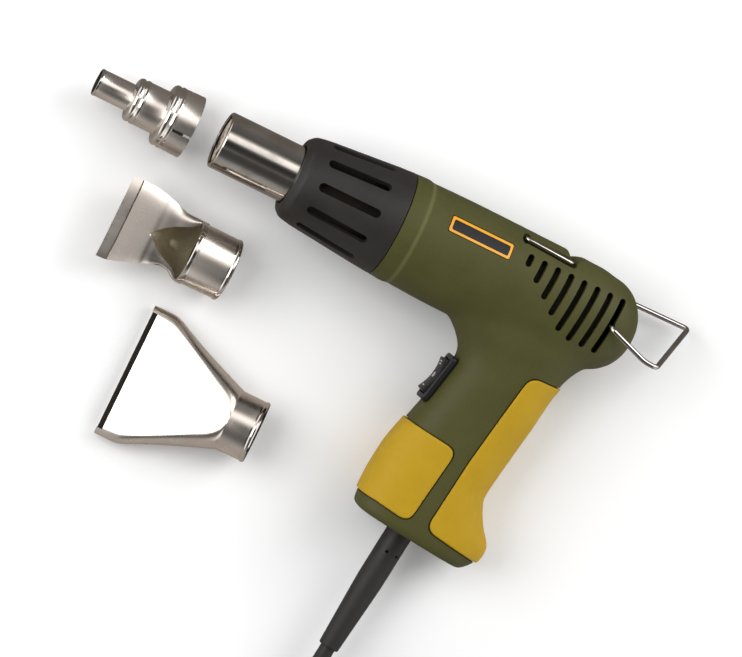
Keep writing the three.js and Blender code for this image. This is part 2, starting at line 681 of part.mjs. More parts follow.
const bezelHalf = [BEZEL.length / 2, BEZEL.width / 2];
const bodyHalf = [SWITCH_BODY.length / 2, SWITCH_BODY.width / 2];
const windowHalf = [ROCKER.radius + RUN, ROCKER.half + CLEAR];
const rockerFloor = -ROCKER.below - ROCKER.room;
let switchBody = block([-bezelHalf[0], 0, -bezelHalf[1]], [bezelHalf[0], BEZEL.thick, bezelHalf[1]]);
switchBody = switchBody.add(block([-bodyHalf[0], -SWITCH_BODY.depth, -bodyHalf[1]], [bodyHalf[0], 0.5, bodyHalf[1]]));
switchBody = switchBody.subtract(block(
  [-windowHalf[0], rockerFloor, -windowHalf[1]], [windowHalf[0], BEZEL.thick + 1, windowHalf[1]],
));
const pinReach = windowHalf[1] + ROCKER_PIN_LENGTH;
switchBody = switchBody.subtract(solid(
  crossBar(0, ROCKER.pivot, -pinReach - CLEAR, pinReach + CLEAR, ROCKER_PIN + CLEAR, 10),
));
switchFrame.add(piece('switch_body', switchBody, BLACK));

const cornerX = Math.sqrt(ROCKER.radius ** 2 - (ROCKER.top - ROCKER.pivot) ** 2);
const cornerTurn = Math.atan2(ROCKER.top - ROCKER.pivot, cornerX);
const footTurn = Math.asin((ROCKER.pivot + ROCKER.below) / ROCKER.radius);
const rockerShape = new THREE.Shape();
rockerShape.absarc(0, ROCKER.pivot, ROCKER.radius, -footTurn, cornerTurn, false);
rockerShape.quadraticCurveTo(0, ROCKER.top - 2 * ROCKER.dish, -cornerX, ROCKER.top);
rockerShape.absarc(0, ROCKER.pivot, ROCKER.radius, Math.PI - cornerTurn, Math.PI + footTurn, false);
rockerShape.closePath();
const rocker = prism(rockerShape, -ROCKER.half, ROCKER.half)
  .add(solid(crossBar(0, ROCKER.pivot, -pinReach, pinReach, ROCKER_PIN, 10)));
switchFrame.add(piece('switch_rocker', rocker, BLACK));

for (const k of [-1, 0, 1]) {
  const blade = block(
    [k * TERMINAL.pitch - TERMINAL.thick / 2, -SWITCH_BODY.depth - CLEAR - TERMINAL.length, -TERMINAL.width / 2],
    [k * TERMINAL.pitch + TERMINAL.thick / 2, -SWITCH_BODY.depth - CLEAR, TERMINAL.width / 2],
  );
  switchFrame.add(piece(`switch_terminal_${k + 2}`, blade, BRASS));
}
tool.add(switchFrame);

const switchCut = solid(inSwitchFrame(new THREE.BoxGeometry(
  BEZEL.length + 2 * CLEAR, FAR, BEZEL.width + 2 * CLEAR,
).translate(0, FAR / 2 - CLEAR, 0))).add(solid(inSwitchFrame(new THREE.BoxGeometry(
  SWITCH_BODY.length + 2 * CLEAR, SWITCH_BODY.depth, SWITCH_BODY.width + 2 * CLEAR,
).translate(0, -SWITCH_BODY.depth / 2 + 1, 0))));

// Sleeve, lead and clamp inside the handle

const exitTurn = -Math.PI / 2 - radians(EXIT_SLANT);
const alongExit = (geometry) => geometry.rotateZ(exitTurn).translate(...EXIT_AT, 0);
const exitPoint = (along, z = 0) => [
  EXIT_AT[0] + along * Math.cos(exitTurn), EXIT_AT[1] + along * Math.sin(exitTurn), z,
];
const flangeOut = -BASE_FLOOR - CLEAR - 0.6;
const flangeIn = flangeOut - RELIEF.flangeThick;
tool.add(piece('strain_relief', alongExit(turned([
  [flangeIn, 0], [flangeIn, RELIEF.flange], [flangeOut, RELIEF.flange], [flangeOut, RELIEF.radius],
  [RELIEF.straight, RELIEF.radius], [RELIEF.length - 0.8, RELIEF.tip], [RELIEF.length, RELIEF.tip - 0.6],
  [RELIEF.length, 0],
], 16)), BLACK));
const exitHole = solid(alongExit(bar(-9, 9, RELIEF.radius + CLEAR, 16)));
const flangeRoom = solid(alongExit(bar(flangeIn - CLEAR, flangeOut + CLEAR, RELIEF.flange + CLEAR, 16)));

tool.add(piece('cord_inner', tube(
  [vector(exitPoint(flangeIn - CLEAR)), vector(exitPoint(-CORD_INSIDE))], CORD_RADIUS, 12,
), BLACK));

const clampFrame = new THREE.Group();
clampFrame.position.set(...exitPoint(-CLAMP.up));
clampFrame.rotation.z = exitTurn + Math.PI / 2;
const clampHalf = [CLAMP.length / 2, CLAMP.width / 2];
const clampLow = CORD_RADIUS + CLEAR;
const clampHole = SCREW.shank + CLEAR;
let clamp = block([-clampHalf[0], -clampHalf[1], clampLow], [clampHalf[0], clampHalf[1], clampLow + CLAMP.thick]);
let saddle = block([-clampHalf[0], -clampHalf[1], -FAR], [clampHalf[0], clampHalf[1], -clampLow]);
for (const [k, x] of [-CLAMP.screw, CLAMP.screw].entries()) {
  const hole = solid(crossBar(x, 0, -clampLow - SCREW.reach, FAR, clampHole, 8));
  clamp = clamp.subtract(hole);
  saddle = saddle.subtract(hole);
  const top = clampLow + CLAMP.thick + CLEAR;
  const screw = turned([
    [CLEAR - clampLow - SCREW.reach, 0], [CLEAR - clampLow - SCREW.reach, SCREW.shank], [top, SCREW.shank],
    [top, SCREW.head], [top + SCREW.headDeep, SCREW.head], [top + SCREW.headDeep, 0],
  ], 8).rotateY(-Math.PI / 2).translate(x, 0, 0);
  clampFrame.add(piece(`clamp_screw_${k + 1}`, screw, ZINC));
}
clampFrame.add(piece('cord_clamp', clamp, BLACK));
tool.add(clampFrame);
clampFrame.updateMatrix();
const saddleBlock = saddle.transform(clampFrame.matrix.toArray());

const liveEnd = inSwitchFrame(new THREE.BufferGeometry().setFromPoints([
  new THREE.Vector3(-TERMINAL.pitch, -SWITCH_BODY.depth - TERMINAL.length - 2 * CLEAR, 0),
  new THREE.Vector3(-TERMINAL.pitch, -SWITCH_BODY.depth - TERMINAL.length - 5, 0),
])).getAttribute('position');
const coreGap = LEAD_WIRE + CLEAR;
tool.add(piece('lead_live', tube(bent([
  exitPoint(-CORD_INSIDE - CLEAR, coreGap), exitPoint(-CORD_INSIDE - LEAD_STRAIGHT, coreGap), LIVE_BEND,
  [liveEnd.getX(1), liveEnd.getY(1), 0], [liveEnd.getX(0), liveEnd.getY(0), 0],
], 4, 3), LEAD_WIRE, 5), PALE));
tool.add(piece('lead_neutral', tube(bent([
  exitPoint(-CORD_INSIDE - CLEAR, -coreGap), exitPoint(-CORD_INSIDE - LEAD_STRAIGHT, -coreGap), ...NEUTRAL_BENDS,
  [(boardFront + boardBack) / 2, -MOTOR_RADIUS - NEUTRAL_RISE, 0], [(boardFront + boardBack) / 2, -MOTOR_RADIUS - CLEAR, 0],
], 6, 3), LEAD_WIRE, 5), PALE));

// Bails: bent wire, each turning on two short pins in the housing

const hangPath = [
  [...HANG_PIVOT, HANG_PIN], [...HANG_PIVOT, HANG_SPREAD], [...HANG_BAR, HANG_SPREAD],
  [...HANG_BAR, -HANG_SPREAD], [...HANG_PIVOT, -HANG_SPREAD], [...HANG_PIVOT, -HANG_PIN],
];
tool.add(piece('hanging_bail', tube(bent(hangPath, BAIL_BEND), BAIL_WIRE, 8), STEEL));
const grooveWidth = 2 * BAIL_WIRE + 1.2;
const groove = pill(...HANG_PIVOT, ...HANG_BAR, grooveWidth);
const grooveFloor = HANG_SPREAD - BAIL_WIRE - 0.4;
const hangBore = crossBar(...HANG_PIVOT, -FAR, FAR, BAIL_WIRE + CLEAR, 10);
const hangKeep = block([-FAR, -FAR, -HANG_PIN + 1], [FAR, FAR, HANG_PIN - 1]);
const notchHalf = BAIL_WIRE + 0.55;
const notch = new THREE.Shape();
notch.moveTo(HANG_BAR[0] - notchHalf - 1.6, FAR);
notch.lineTo(HANG_BAR[0] - notchHalf - 1.6, BARREL_RADIUS - 0.2);
notch.quadraticCurveTo(HANG_BAR[0] - notchHalf - 0.5, BARREL_RADIUS - 2, HANG_BAR[0] - notchHalf, BARREL_RADIUS - 4.4);
notch.lineTo(HANG_BAR[0] - notchHalf, NOTCH_FLOOR);
notch.lineTo(HANG_BAR[0] + notchHalf, NOTCH_FLOOR);
notch.lineTo(HANG_BAR[0] + notchHalf, BARREL_RADIUS - 4.2);
notch.quadraticCurveTo(HANG_BAR[0] + notchHalf + 0.6, BARREL_RADIUS - 2.2, HANG_BAR[0] + 6, BARREL_RADIUS - 0.7);
notch.lineTo(HANG_BAR[0] + 6, FAR);
notch.closePath();

const hinge = new THREE.Line3(
  new THREE.Vector3(STAND_X, STAND_FAR.y, STAND_FAR.z), new THREE.Vector3(STAND_X, STAND_NEAR.y, STAND_NEAR.z),
);
const hingeAt = (share) => hinge.at(share, new THREE.Vector3()).toArray();
const pinShare = STAND_PIN / hinge.distance();
const standPath = [
  hingeAt(1 - pinShare), hingeAt(1), [...STAND_ELBOW, STAND_NEAR.z], [...STAND_NEAR_CORNER, STAND_NEAR.z],
  [...STAND_FAR_CORNER, STAND_FAR.z], hingeAt(0), hingeAt(pinShare),
];
tool.add(piece('stand_bail', tube(bent(standPath, BAIL_BEND), STAND_WIRE, 8), STEEL));
const hingeBore = (from, to) => solid(tube(
  [vector(hingeAt(from)), vector(hingeAt(to))], STAND_WIRE + CLEAR, 10,
));

// Housing: two half shells with screw bosses, vents, pockets for the grips and the switch opening

const shellOuter = barrel(0, HOUSING_FRONT).add(handle(0));
let shell = shellOuter.subtract(cavity);
for (const [x, y] of SCREWS) {
  const boss = solid(crossBar(x, y, -FAR, FAR, SCREW.boss, 8));
  shell = shell.add(boss.intersect(shellOuter));
}
shell = shell.subtract(solid(bar(HOUSING_FRONT - 1, guideEnd + 1, BARREL_RADIUS - WALL, 3 * GUARD_SLOTS)));
shell = shell.subtract(switchCut).subtract(exitHole).subtract(flangeRoom);
shell = shell.subtract(prism(notch, -FAR, FAR));
shell = shell.subtract(solid(hangBore).subtract(hangKeep));

const gripSkin = handle(GRIP_PROUD).subtract(handle(CLEAR - GRIP_DEPTH));
const pocketKeep = handle(-GRIP_DEPTH);
const outlines = { front: FRONT_GRIP, rear: REAR_GRIP };
for (const corners of Object.values(outlines)) {
  shell = shell.subtract(prism(rounded(corners, CLEAR), -FAR, FAR).subtract(pocketKeep));
}

const labelCorners = [
  [LABEL.x, LABEL.y, LABEL.corner], [LABEL.x + LABEL.length, LABEL.y, LABEL.corner],
  [LABEL.x + LABEL.length, LABEL.y + LABEL.height, LABEL.corner], [LABEL.x, LABEL.y + LABEL.height, LABEL.corner],
];

for (const side of [1, -1]) {
  const name = side > 0 ? 'left' : 'right';
  const [near, far] = side > 0 ? [8, FAR] : [-FAR, -8];
  let halfShell = shell.intersect(sideOf(side, PARTING));
  if (side < 0) halfShell = halfShell.add(saddleBlock.intersect(pocketKeep));
  for (let k = 0; k < VENTS; k += 1) {
    const top = [VENT.x + k * VENT.pitch, VENT.top];
    const low = Math.max(VENT.lowest, VENT.first - k * VENT.step);
    const slot = pill(...top, top[0] - (VENT.top - low) * VENT.slant, low, VENT.width);
    halfShell = halfShell.subtract(prism(slot, near, far, 2));
  }
  const grooveEnds = side > 0 ? [grooveFloor, FAR] : [-FAR, -grooveFloor];
  halfShell = halfShell.subtract(prism(groove, ...grooveEnds, 2));
  halfShell = halfShell.subtract(side > 0 ? hingeBore(0.75, 1.2) : hingeBore(-0.2, 0.25));
  if (side > 0) {
    const pocket = prism(rounded(labelCorners, CLEAR), 10, FAR);
    halfShell = halfShell.subtract(pocket.subtract(barrel(-LABEL.depth, HOUSING_FRONT)));
  }
  for (const [x, y] of SCREWS) {
    const hole = side > 0
      ? crossBar(x, y, -1, SCREW.reach + CLEAR, SCREW.shank + CLEAR, 8)
      : crossBar(x, y, -FAR, 1, SCREW.shank + CLEAR, 8);
    halfShell = halfShell.subtract(solid(hole));
    if (side < 0) halfShell = halfShell.subtract(solid(crossBar(x, y, -FAR, -SCREW.seat, SCREW.head + CLEAR, 8)));
  }
  tool.add(piece(`housing_${name}`, halfShell, OLIVE));
  for (const [place, corners] of Object.entries(outlines)) {
    const pad = gripSkin.intersect(prism(rounded(corners), -FAR, FAR)).intersect(sideOf(side, PARTING));
    tool.add(piece(`${place}_grip_${name}`, pad, OCHRE));
  }
}

const plateSkin = barrel(LABEL.proud, HOUSING_FRONT).subtract(barrel(CLEAR - LABEL.depth, HOUSING_FRONT));
const plate = plateSkin.intersect(prism(rounded(labelCorners), 10, FAR));
tool.add(piece('label_plate', plate, LABEL_FINISH));

for (const [k, [x, y]] of SCREWS.entries()) {
  const head = -SCREW.seat - CLEAR;
  const screw = turned([
    [head - SCREW.headDeep, 0], [head - SCREW.headDeep, SCREW.head], [head, SCREW.head], [head, SCREW.shank],
    [SCREW.reach, SCREW.shank], [SCREW.reach, 0],
  ], 8);
  tool.add(piece(`housing_screw_${k + 1}`, screw.rotateY(-Math.PI / 2).translate(x, y, 0), ZINC));
}

// The tool lies on its right side: it tips until the barrel and the handle both touch the table

tool.updateMatrixWorld(true);
const outside = [];
for (const mesh of tool.children.filter((child) => child.isMesh && /right/.test(child.name))) {
  const places = mesh.geometry.getAttribute('position');
  for (let k = 0; k < places.count; k += 1) outside.push([places.getY(k), places.getZ(k)]);
}
const depth = (turn, keep) => Math.max(...outside.filter(([y]) => keep(y)).map(
  ([y, z]) => -(y * Math.sin(turn) + z * Math.cos(turn)),
));
let [flat, steep] = [0, radians(12)];
for (let k = 0; k < 40; k += 1) {
  const turn = (flat + steep) / 2;
  if (depth(turn, (y) => y < GRIP_TOP) < depth(turn, (y) => y > GRIP_TOP)) flat = turn;
  else steep = turn;
}
const lean = (flat + steep) / 2;
const axisHeight = depth(lean, () => true);
tool.rotation.x = lean;
tool.position.z = axisHeight;

const part = new THREE.Group();
part.add(tool);

// Loose nozzles: pressed steel, each lying on the table. The reducer lies on its base with its tip clear.

const nozzleBore = TUBE_RADIUS + NOZZLE_FIT;
const nozzleRadius = nozzleBore + NOZZLE_WALL;

const shoulder = (x, from, to, wall) => [0, 0.4, 0.7, 1].map((share) => [
  x + REDUCER.shoulder * (1 - Math.cos(share * Math.PI / 2)),
  from - wall + (to - from) * Math.sin(share * Math.PI / 2),
]);
const baseStart = REDUCER.tipLength + REDUCER.middleLength;
const reducerLength = baseStart + REDUCER.base;
const reducerOuter = (wall) => [
  ...shoulder(REDUCER.tipLength + wall, REDUCER.tip, REDUCER.middle, wall),
  ...shoulder(baseStart + wall, REDUCER.middle, nozzleRadius, wall),
];
let reducer = solid(ring([
  [0, REDUCER.tip - NOZZLE_WALL], [0, REDUCER.tip], ...reducerOuter(0), [reducerLength, nozzleRadius],
  [reducerLength, nozzleBore], ...reducerOuter(NOZZLE_WALL).reverse(),
], 22));
reducer = reducer.subtract(solid(new THREE.BoxGeometry(2 * REDUCER_SLIT.length, REDUCER_SLIT.width, FAR)
  .translate(reducerLength, 0, FAR / 2).rotateX(radians(REDUCER_SLIT.turn))));
const reducerMesh = piece('reducer_nozzle', reducer, STEEL);
reducerMesh.position.set(...REDUCER_AT, nozzleRadius);
part.add(reducerMesh);

const scoopRings = SCOOP.map(([along, wide, low, edge]) => {
  const outer = [];
  const inner = [];
  const deep = Math.min(1, (edge - low) / SCOOP_DEEP);
  for (let j = 0; j <= SCOOP_SIDES; j += 1) {
    const turn = Math.PI * (j / SCOOP_SIDES - 0.5);
    const height = low + (edge - low) * (1 - Math.cos(turn));
    outer.push(new THREE.Vector3(-along, wide * Math.sin(turn), height));
    inner.push(new THREE.Vector3(
      -along,
      (wide - NOZZLE_WALL * deep) * Math.sin(turn),
      height + NOZZLE_WALL * (1 + deep * (Math.cos(turn) - 1)),
    ));
  }
  return [...outer, ...inner.reverse()];
});
const scoopBase = solid(ring([
  [-SCOOP_LAP, nozzleBore], [-SCOOP_LAP, nozzleRadius], [NOZZLE_BASE, nozzleRadius], [NOZZLE_BASE, nozzleBore],
], 28).translate(0, 0, nozzleRadius));
const reflector = solid(loft(scoopRings, true)).add(scoopBase);
const reflectorMesh = piece('reflector_nozzle', reflector, STEEL);
reflectorMesh.position.set(...REFLECTOR_AT, 0);
part.add(reflectorMesh);

const fishtail = (inset, ends) => {
  const stations = [[0, nozzleRadius, nozzleRadius, 2], [NOZZLE_BASE, nozzleRadius, nozzleRadius, 2], ...FISHTAIL];
  return solid(loft(stations.map(([along, wide, high, square], k) => {
    const past = k === 0 ? -ends : k === stations.length - 1 ? ends : 0;
    return oval(FISHTAIL_SIDES, square, (across, out) => new THREE.Vector3(
      -along - past, (wide - inset) * across, (high - inset) * out,
    ));
  })));
};
const [mouthAlong, , mouthHigh] = FISHTAIL.at(-1);
const fishtailLean = Math.atan2(nozzleRadius - mouthHigh, mouthAlong - NOZZLE_BASE);
const slotMesh = piece('slot_nozzle', fishtail(0, 0).subtract(fishtail(NOZZLE_WALL, 1)), STEEL);
const slotFrame = new THREE.Group();
slotFrame.add(slotMesh);
slotFrame.rotation.y = -fishtailLean;
slotFrame.position.set(...SLOT_NOZZLE_AT, nozzleRadius * Math.cos(fishtailLean) + NOZZLE_BASE * Math.sin(fishtailLean));
part.add(slotFrame);

// The object's own box, without the lead, gives the origin: the middle of its foot

part.updateMatrixWorld(true);
const box = new THREE.Box3().setFromObject(part, true);

// Mains lead on the table: a short free stretch, a tied coil, a tail and the plug

const cord = new THREE.Group();
const fromTool = (point) => tool.localToWorld(vector(point));
const leadStart = fromTool(exitPoint(RELIEF.length + CLEAR));
const leadNext = fromTool(exitPoint(RELIEF.length + 2 * CORD_RADIUS));
const coilLow = COIL_LIFT + CORD_RADIUS;
const coilStart = new THREE.Vector3(...COIL_START, coilLow);
const leadEnd = coilStart.clone().add(new THREE.Vector3(0, CLEAR, 0));
const leadRoute = [leadStart, leadNext, ...LEAD_POINTS.map(vector), leadEnd];
cord.add(piece('cord_lead', tube(leadRoute, CORD_RADIUS, CORD_SIDES), BLACK));

// The coil: in on the lower layer and out on the upper one, climbing round the innermost half turn.
const coilMiddle = COIL_TURNS / 2;
const coilOuter = COIL_INNER + COIL_PITCH * coilMiddle;
const straightEnd = 2 * CORD_RADIUS;
const coilCentre = new THREE.Vector3(COIL_START[0] + coilOuter, COIL_START[1] - straightEnd, 0);
const coilTurn = (t) => Math.PI + 2 * Math.PI * t;
const coilPoint = (t) => {
  const radius = COIL_INNER + COIL_PITCH * Math.abs(t - coilMiddle);
  const climb = THREE.MathUtils.clamp((t - coilMiddle) * 2 + 0.5, 0, 1);
  return new THREE.Vector3(
    coilCentre.x + radius * Math.cos(coilTurn(t)),
    coilCentre.y + radius * Math.sin(coilTurn(t)),
    coilLow + COIL_PITCH * climb,
  );
};
const coilSteps = Math.round(COIL_TURNS * COIL_STEPS);
const coilPoints = Array.from({ length: coilSteps + 1 }, (_, k) => coilPoint((COIL_TURNS * k) / coilSteps));
const tailHeading = new THREE.Vector3(-Math.sin(coilTurn(COIL_TURNS)), Math.cos(coilTurn(COIL_TURNS)), 0);
const tailStart = coilPoints.at(-1).clone().addScaledVector(tailHeading, straightEnd);
const coilRoute = [coilStart, ...coilPoints, tailStart];
cord.add(piece('cord_coil', tube(coilRoute, CORD_RADIUS, COIL_SIDES), BLACK));

let coilGap = Infinity;
coilRoute.forEach((point, k) => {
  coilRoute.slice(k + COIL_STEPS / 2).forEach((other) => {
    coilGap = Math.min(coilGap, point.distanceTo(other) - 2 * CORD_RADIUS);
  });
});
console.log(`least gap between the turns of the coil: ${coilGap.toFixed(2)} mm`);

// The tie: a flat band round all turns.
const tieIn = COIL_INNER - CORD_RADIUS - TIE.gap;
const tieOut = coilOuter + CORD_RADIUS + TIE.gap;
const tieLow = COIL_LIFT - TIE.gap + 0.3;
const tieHigh = coilLow + COIL_PITCH + CORD_RADIUS + TIE.gap;
const band = (grow) => [
  [tieIn - grow, tieLow - grow, 2 + grow], [tieOut + grow, tieLow - grow, 2 + grow],
  [tieOut + grow, tieHigh + grow, 2 + grow], [tieIn - grow, tieHigh + grow, 2 + grow],
];
const bandShape = rounded(band(TIE.thick));
bandShape.holes.push(rounded(band(0)));
const tie = new THREE.ExtrudeGeometry(bandShape, { depth: TIE.width, bevelEnabled: false, curveSegments: 4 })
  .translate(0, 0, -TIE.width / 2).rotateX(Math.PI / 2).rotateZ(radians(TIE.turn));
cord.add(piece('cord_tie', tie.translate(coilCentre.x, coilCentre.y, 0), BLACK));

// The tail comes down beside the coil and ends in the plug.
const plugAxis = PLUG.thick / 2 + 0.1;
const tailTurn = (share) => coilTurn(COIL_TURNS) + radians(TAIL_TURN) * share;
const ease = (share) => share * share * (3 - 2 * share);
const tailPoints = Array.from({ length: TAIL_STEPS + 1 }, (_, k) => {
  const share = k / TAIL_STEPS;
  const radius = coilOuter + (TAIL_OUT + 2 * CORD_RADIUS) * ease(share);
  const dip = CORD_RADIUS + 0.3;
  const fall = share < 0.75
    ? THREE.MathUtils.lerp(coilLow + COIL_PITCH, dip, ease(share / 0.75))
    : THREE.MathUtils.lerp(dip, plugAxis, ease((share - 0.75) * 4));
  return new THREE.Vector3(
    coilCentre.x + radius * Math.cos(tailTurn(share)) + tailHeading.x * (straightEnd + CLEAR),
    coilCentre.y + radius * Math.sin(tailTurn(share)) + tailHeading.y * (straightEnd + CLEAR),
    fall,
  );
});
const plugHeading = new THREE.Vector3(-Math.sin(tailTurn(1)), Math.cos(tailTurn(1)), 0);
const tailEnd = tailPoints.at(-1).clone().addScaledVector(plugHeading, 2 * CORD_RADIUS);
cord.add(piece('cord_tail', tube([...tailPoints, tailEnd], CORD_RADIUS, CORD_SIDES), BLACK));

const plugFrame = new THREE.Group();
plugFrame.position.copy(tailEnd).addScaledVector(plugHeading, CLEAR);
plugFrame.rotation.z = tailTurn(1) + Math.PI / 2;
const plugFace = PLUG.relief + PLUG.length;
const plugOutline = rounded([
  [PLUG.relief - 2, -PLUG.neck / 2, 4], [PLUG.relief + PLUG.length * 0.55, -PLUG.width / 2, 5],
  [plugFace, -PLUG.width / 2, 4], [plugFace, PLUG.width / 2, 4],
  [PLUG.relief + PLUG.length * 0.55, PLUG.width / 2, 5], [PLUG.relief - 2, PLUG.neck / 2, 4],
]);
const plug = prism(plugOutline, -PLUG.thick / 2, PLUG.thick / 2)
  .add(solid(turned([
    [0, 0], [0, CORD_RADIUS + 0.9], [PLUG.relief, PLUG.reliefRadius], [PLUG.relief + 4, PLUG.reliefRadius],
    [PLUG.relief + 4, 0],
  ], 16)));
plugFrame.add(piece('plug_body', plug, BLACK));
for (const [k, y] of [-PIN.spread, PIN.spread].entries()) {
  const start = plugFace + CLEAR;
  const pin = turned([
    [start, 0], [start, PIN.radius], [start + PIN.length - 1.2, PIN.radius], [start + PIN.length, PIN.radius - 1],
    [start + PIN.length, 0],
  ], 14);
  plugFrame.add(piece(`plug_pin_${k + 1}`, pin.translate(0, y, 0), BRASS));
}
cord.add(plugFrame);
part.add(cord);

part.position.set(-(box.min.x + box.max.x) / 2, -(box.min.y + box.max.y) / 2, -box.min.z);

export default part;
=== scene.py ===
import json
import math

import bmesh
import bpy
from mathutils import Matrix, Vector


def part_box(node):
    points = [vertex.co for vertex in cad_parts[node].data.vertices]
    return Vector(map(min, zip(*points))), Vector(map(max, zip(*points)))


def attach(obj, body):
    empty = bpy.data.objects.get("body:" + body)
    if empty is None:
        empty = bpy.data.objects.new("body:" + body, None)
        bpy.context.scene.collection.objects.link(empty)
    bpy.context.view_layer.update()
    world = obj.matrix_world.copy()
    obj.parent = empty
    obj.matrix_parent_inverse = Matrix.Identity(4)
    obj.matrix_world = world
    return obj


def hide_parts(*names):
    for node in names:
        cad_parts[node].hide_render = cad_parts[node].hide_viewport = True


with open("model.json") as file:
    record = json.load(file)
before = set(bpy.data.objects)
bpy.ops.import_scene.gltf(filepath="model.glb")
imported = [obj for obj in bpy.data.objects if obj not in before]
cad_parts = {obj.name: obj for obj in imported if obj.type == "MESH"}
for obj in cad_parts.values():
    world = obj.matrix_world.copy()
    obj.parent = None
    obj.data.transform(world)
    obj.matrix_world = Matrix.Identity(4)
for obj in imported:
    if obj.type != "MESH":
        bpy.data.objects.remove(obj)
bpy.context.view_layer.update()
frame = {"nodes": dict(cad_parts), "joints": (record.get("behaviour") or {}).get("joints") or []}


# Camera: a long lens high above the table, leaning a little to the nozzle side and rolled so
# that the barrel runs down to the right across the picture.
SENSOR_WIDTH = 36.0
VIEW_WIDTH = 0.304
CAMERA_DISTANCE = 2.2
CAMERA_TILT = math.radians(10.6)
CAMERA_ROLL = math.radians(25.9)

# The outlet tube gives the tool's axis, and the rocker's pin how far the tool leans on the table.
tube_low, tube_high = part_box("nozzle_tube")
joints = {joint["name"]: joint for joint in frame["joints"]}
pin_axis = Vector(joints["rocker_tilt"]["axis"])
TOOL_LEAN = math.atan2(-pin_axis.y, pin_axis.z)
AXIS_HEIGHT = (tube_low.z + tube_high.z) / 2
TABLE_FRAME = Matrix.Translation((tube_low.x, (tube_low.y + tube_high.y) / 2, 0))
TOOL_FRAME = TABLE_FRAME @ Matrix.Translation((0, 0, AXIS_HEIGHT)) @ Matrix.Rotation(TOOL_LEAN, 4, "X")
VIEW_MIDDLE = TABLE_FRAME @ Vector((0.0904, -0.0425, 0.0226))


def linked(name, data):
    """A new object in the scene."""
    thing = bpy.data.objects.new(name, data)
    bpy.context.scene.collection.objects.link(thing)
    return thing


camera_data = bpy.data.cameras.new("camera")
camera_data.sensor_width = SENSOR_WIDTH
camera_data.lens = SENSOR_WIDTH * CAMERA_DISTANCE / VIEW_WIDTH
camera = linked("camera", camera_data)
camera.matrix_world = (
    Matrix.Translation(VIEW_MIDDLE)
    @ Matrix.Rotation(-CAMERA_TILT, 4, "Y")
    @ Matrix.Rotation(CAMERA_ROLL, 4, "Z")
    @ Matrix.Translation((0, 0, CAMERA_DISTANCE))
)
bpy.context.scene.camera = camera


# Studio: a white table top under two large soft boxes, in a dim room with one long strip of light
# above the tool and light walls beyond both ends. Glossy rays alone see the table top painted grey
# before the tool and dark behind it: a painted reflection for bright metal to mirror.
ROOM_BANDS = [
    # angle from straight up towards the tool's top, in degrees, and how bright the room is there
    (-90, 0.50), (-70, 0.36), (-58, 0.12), (-45, 0.07), (-30, 0.08), (-22, 0.16), (-13, 0.06), (0, 0.03),
    (9, 0.12), (18, 1.45), (33, 1.75), (40, 0.50), (48, 0.10), (66, 0.15), (90, 0.20),
]
WALL_EDGE = (0.34, 0.56)
WALL_RISE = (0.3, 0.65)
WALL_LIGHT = (1.5, 0.5)
TABLE_HALF = 3.0
TABLE_DROP = 0.0003
TABLE_WHITE = (0.94, 0.94, 0.94, 1)
# painted reflection: how the table top looks to glossy rays before and behind the tool, and where it turns
REFLECTED_NEAR = (0.42, 0.385, 0.35, 1)
REFLECTED_FAR = (0.15, 0.138, 0.125, 1)
REFLECTED_EDGE = (0.060, 0.090)
SOFT_BOX = 0.9
SOFT_BOXES = [
    # where it hangs from the middle of the view, and its power in watts
    ((-0.90, -0.02, 0.96), 9.5), ((0.75, 0.95, 0.90), 10.0),
]


def joined(tree, kind, inputs, **settings):
    """A shader node with its settings, and a value or another node's output on each of its inputs."""
    node = tree.nodes.new("ShaderNode" + kind)
    for name, value in settings.items():
        setattr(node, name, value)
    for socket, source in inputs.items():
        if isinstance(source, bpy.types.NodeSocket):
            tree.links.new(source, node.inputs[socket])
        else:
            node.inputs[socket].default_value = source
    return node


def ranged(tree, value, low, high, start=0.0, end=1.0):
    """A value between low and high, carried over to start and end."""
    return joined(tree, "MapRange", {
        "Value": value, "From Min": low, "From Max": high, "To Min": start, "To Max": end,
    }).outputs[0]


def mixed(tree, share, first, second):
    """Two colours mixed by a share."""
    return joined(tree, "Mix", {0: share, 6: first, 7: second}, data_type="RGBA").outputs[2]


def maths(tree, operation, *values):
    return joined(tree, "Math", dict(enumerate(values)), operation=operation).outputs[0]


def new_material(name):
    """A material, its node tree and its shader."""
    material = bpy.data.materials.new(name)
    material.use_nodes = True
    return material, material.node_tree, material.node_tree.nodes["Principled BSDF"]


def mesh_of(bm, name):
    mesh = bpy.data.meshes.new(name)
    bm.to_mesh(mesh)
    return mesh


bpy.context.scene.view_settings.view_transform = "Standard"
world = bpy.data.worlds.new("studio")
world.use_nodes = True
bpy.context.scene.world = world
room = world.node_tree
sky = joined(room, "SeparateXYZ", {0: joined(room, "TexCoord", {}).outputs["Generated"]}).outputs
height = maths(room, "ARCTAN2", sky["Y"], sky["Z"])
bands = joined(room, "ValToRGB", {0: ranged(room, height, -math.pi / 2, math.pi / 2)})
while len(bands.color_ramp.elements) < len(ROOM_BANDS):
    bands.color_ramp.elements.new(1.0)
for element, (angle, level) in zip(bands.color_ramp.elements, ROOM_BANDS):
    element.position = (angle + 90) / 180
    element.color = (level, level, level, 1)
walls = ranged(room, sky["Z"], *WALL_RISE, *WALL_LIGHT)
ends = ranged(room, maths(room, "ABSOLUTE", sky["X"]), *WALL_EDGE)
room.links.new(mixed(room, ends, bands.outputs[0], walls), room.nodes["Background"].inputs["Color"])
for place, power in SOFT_BOXES:
    lamp_data = bpy.data.lights.new("soft_box", "AREA")
    lamp_data.size = SOFT_BOX
    lamp_data.energy = power
    lamp = linked("soft_box", lamp_data)
    lamp.location = VIEW_MIDDLE + Vector(place)
    lamp.rotation_euler = (-Vector(place)).to_track_quat("-Z", "Y").to_euler()

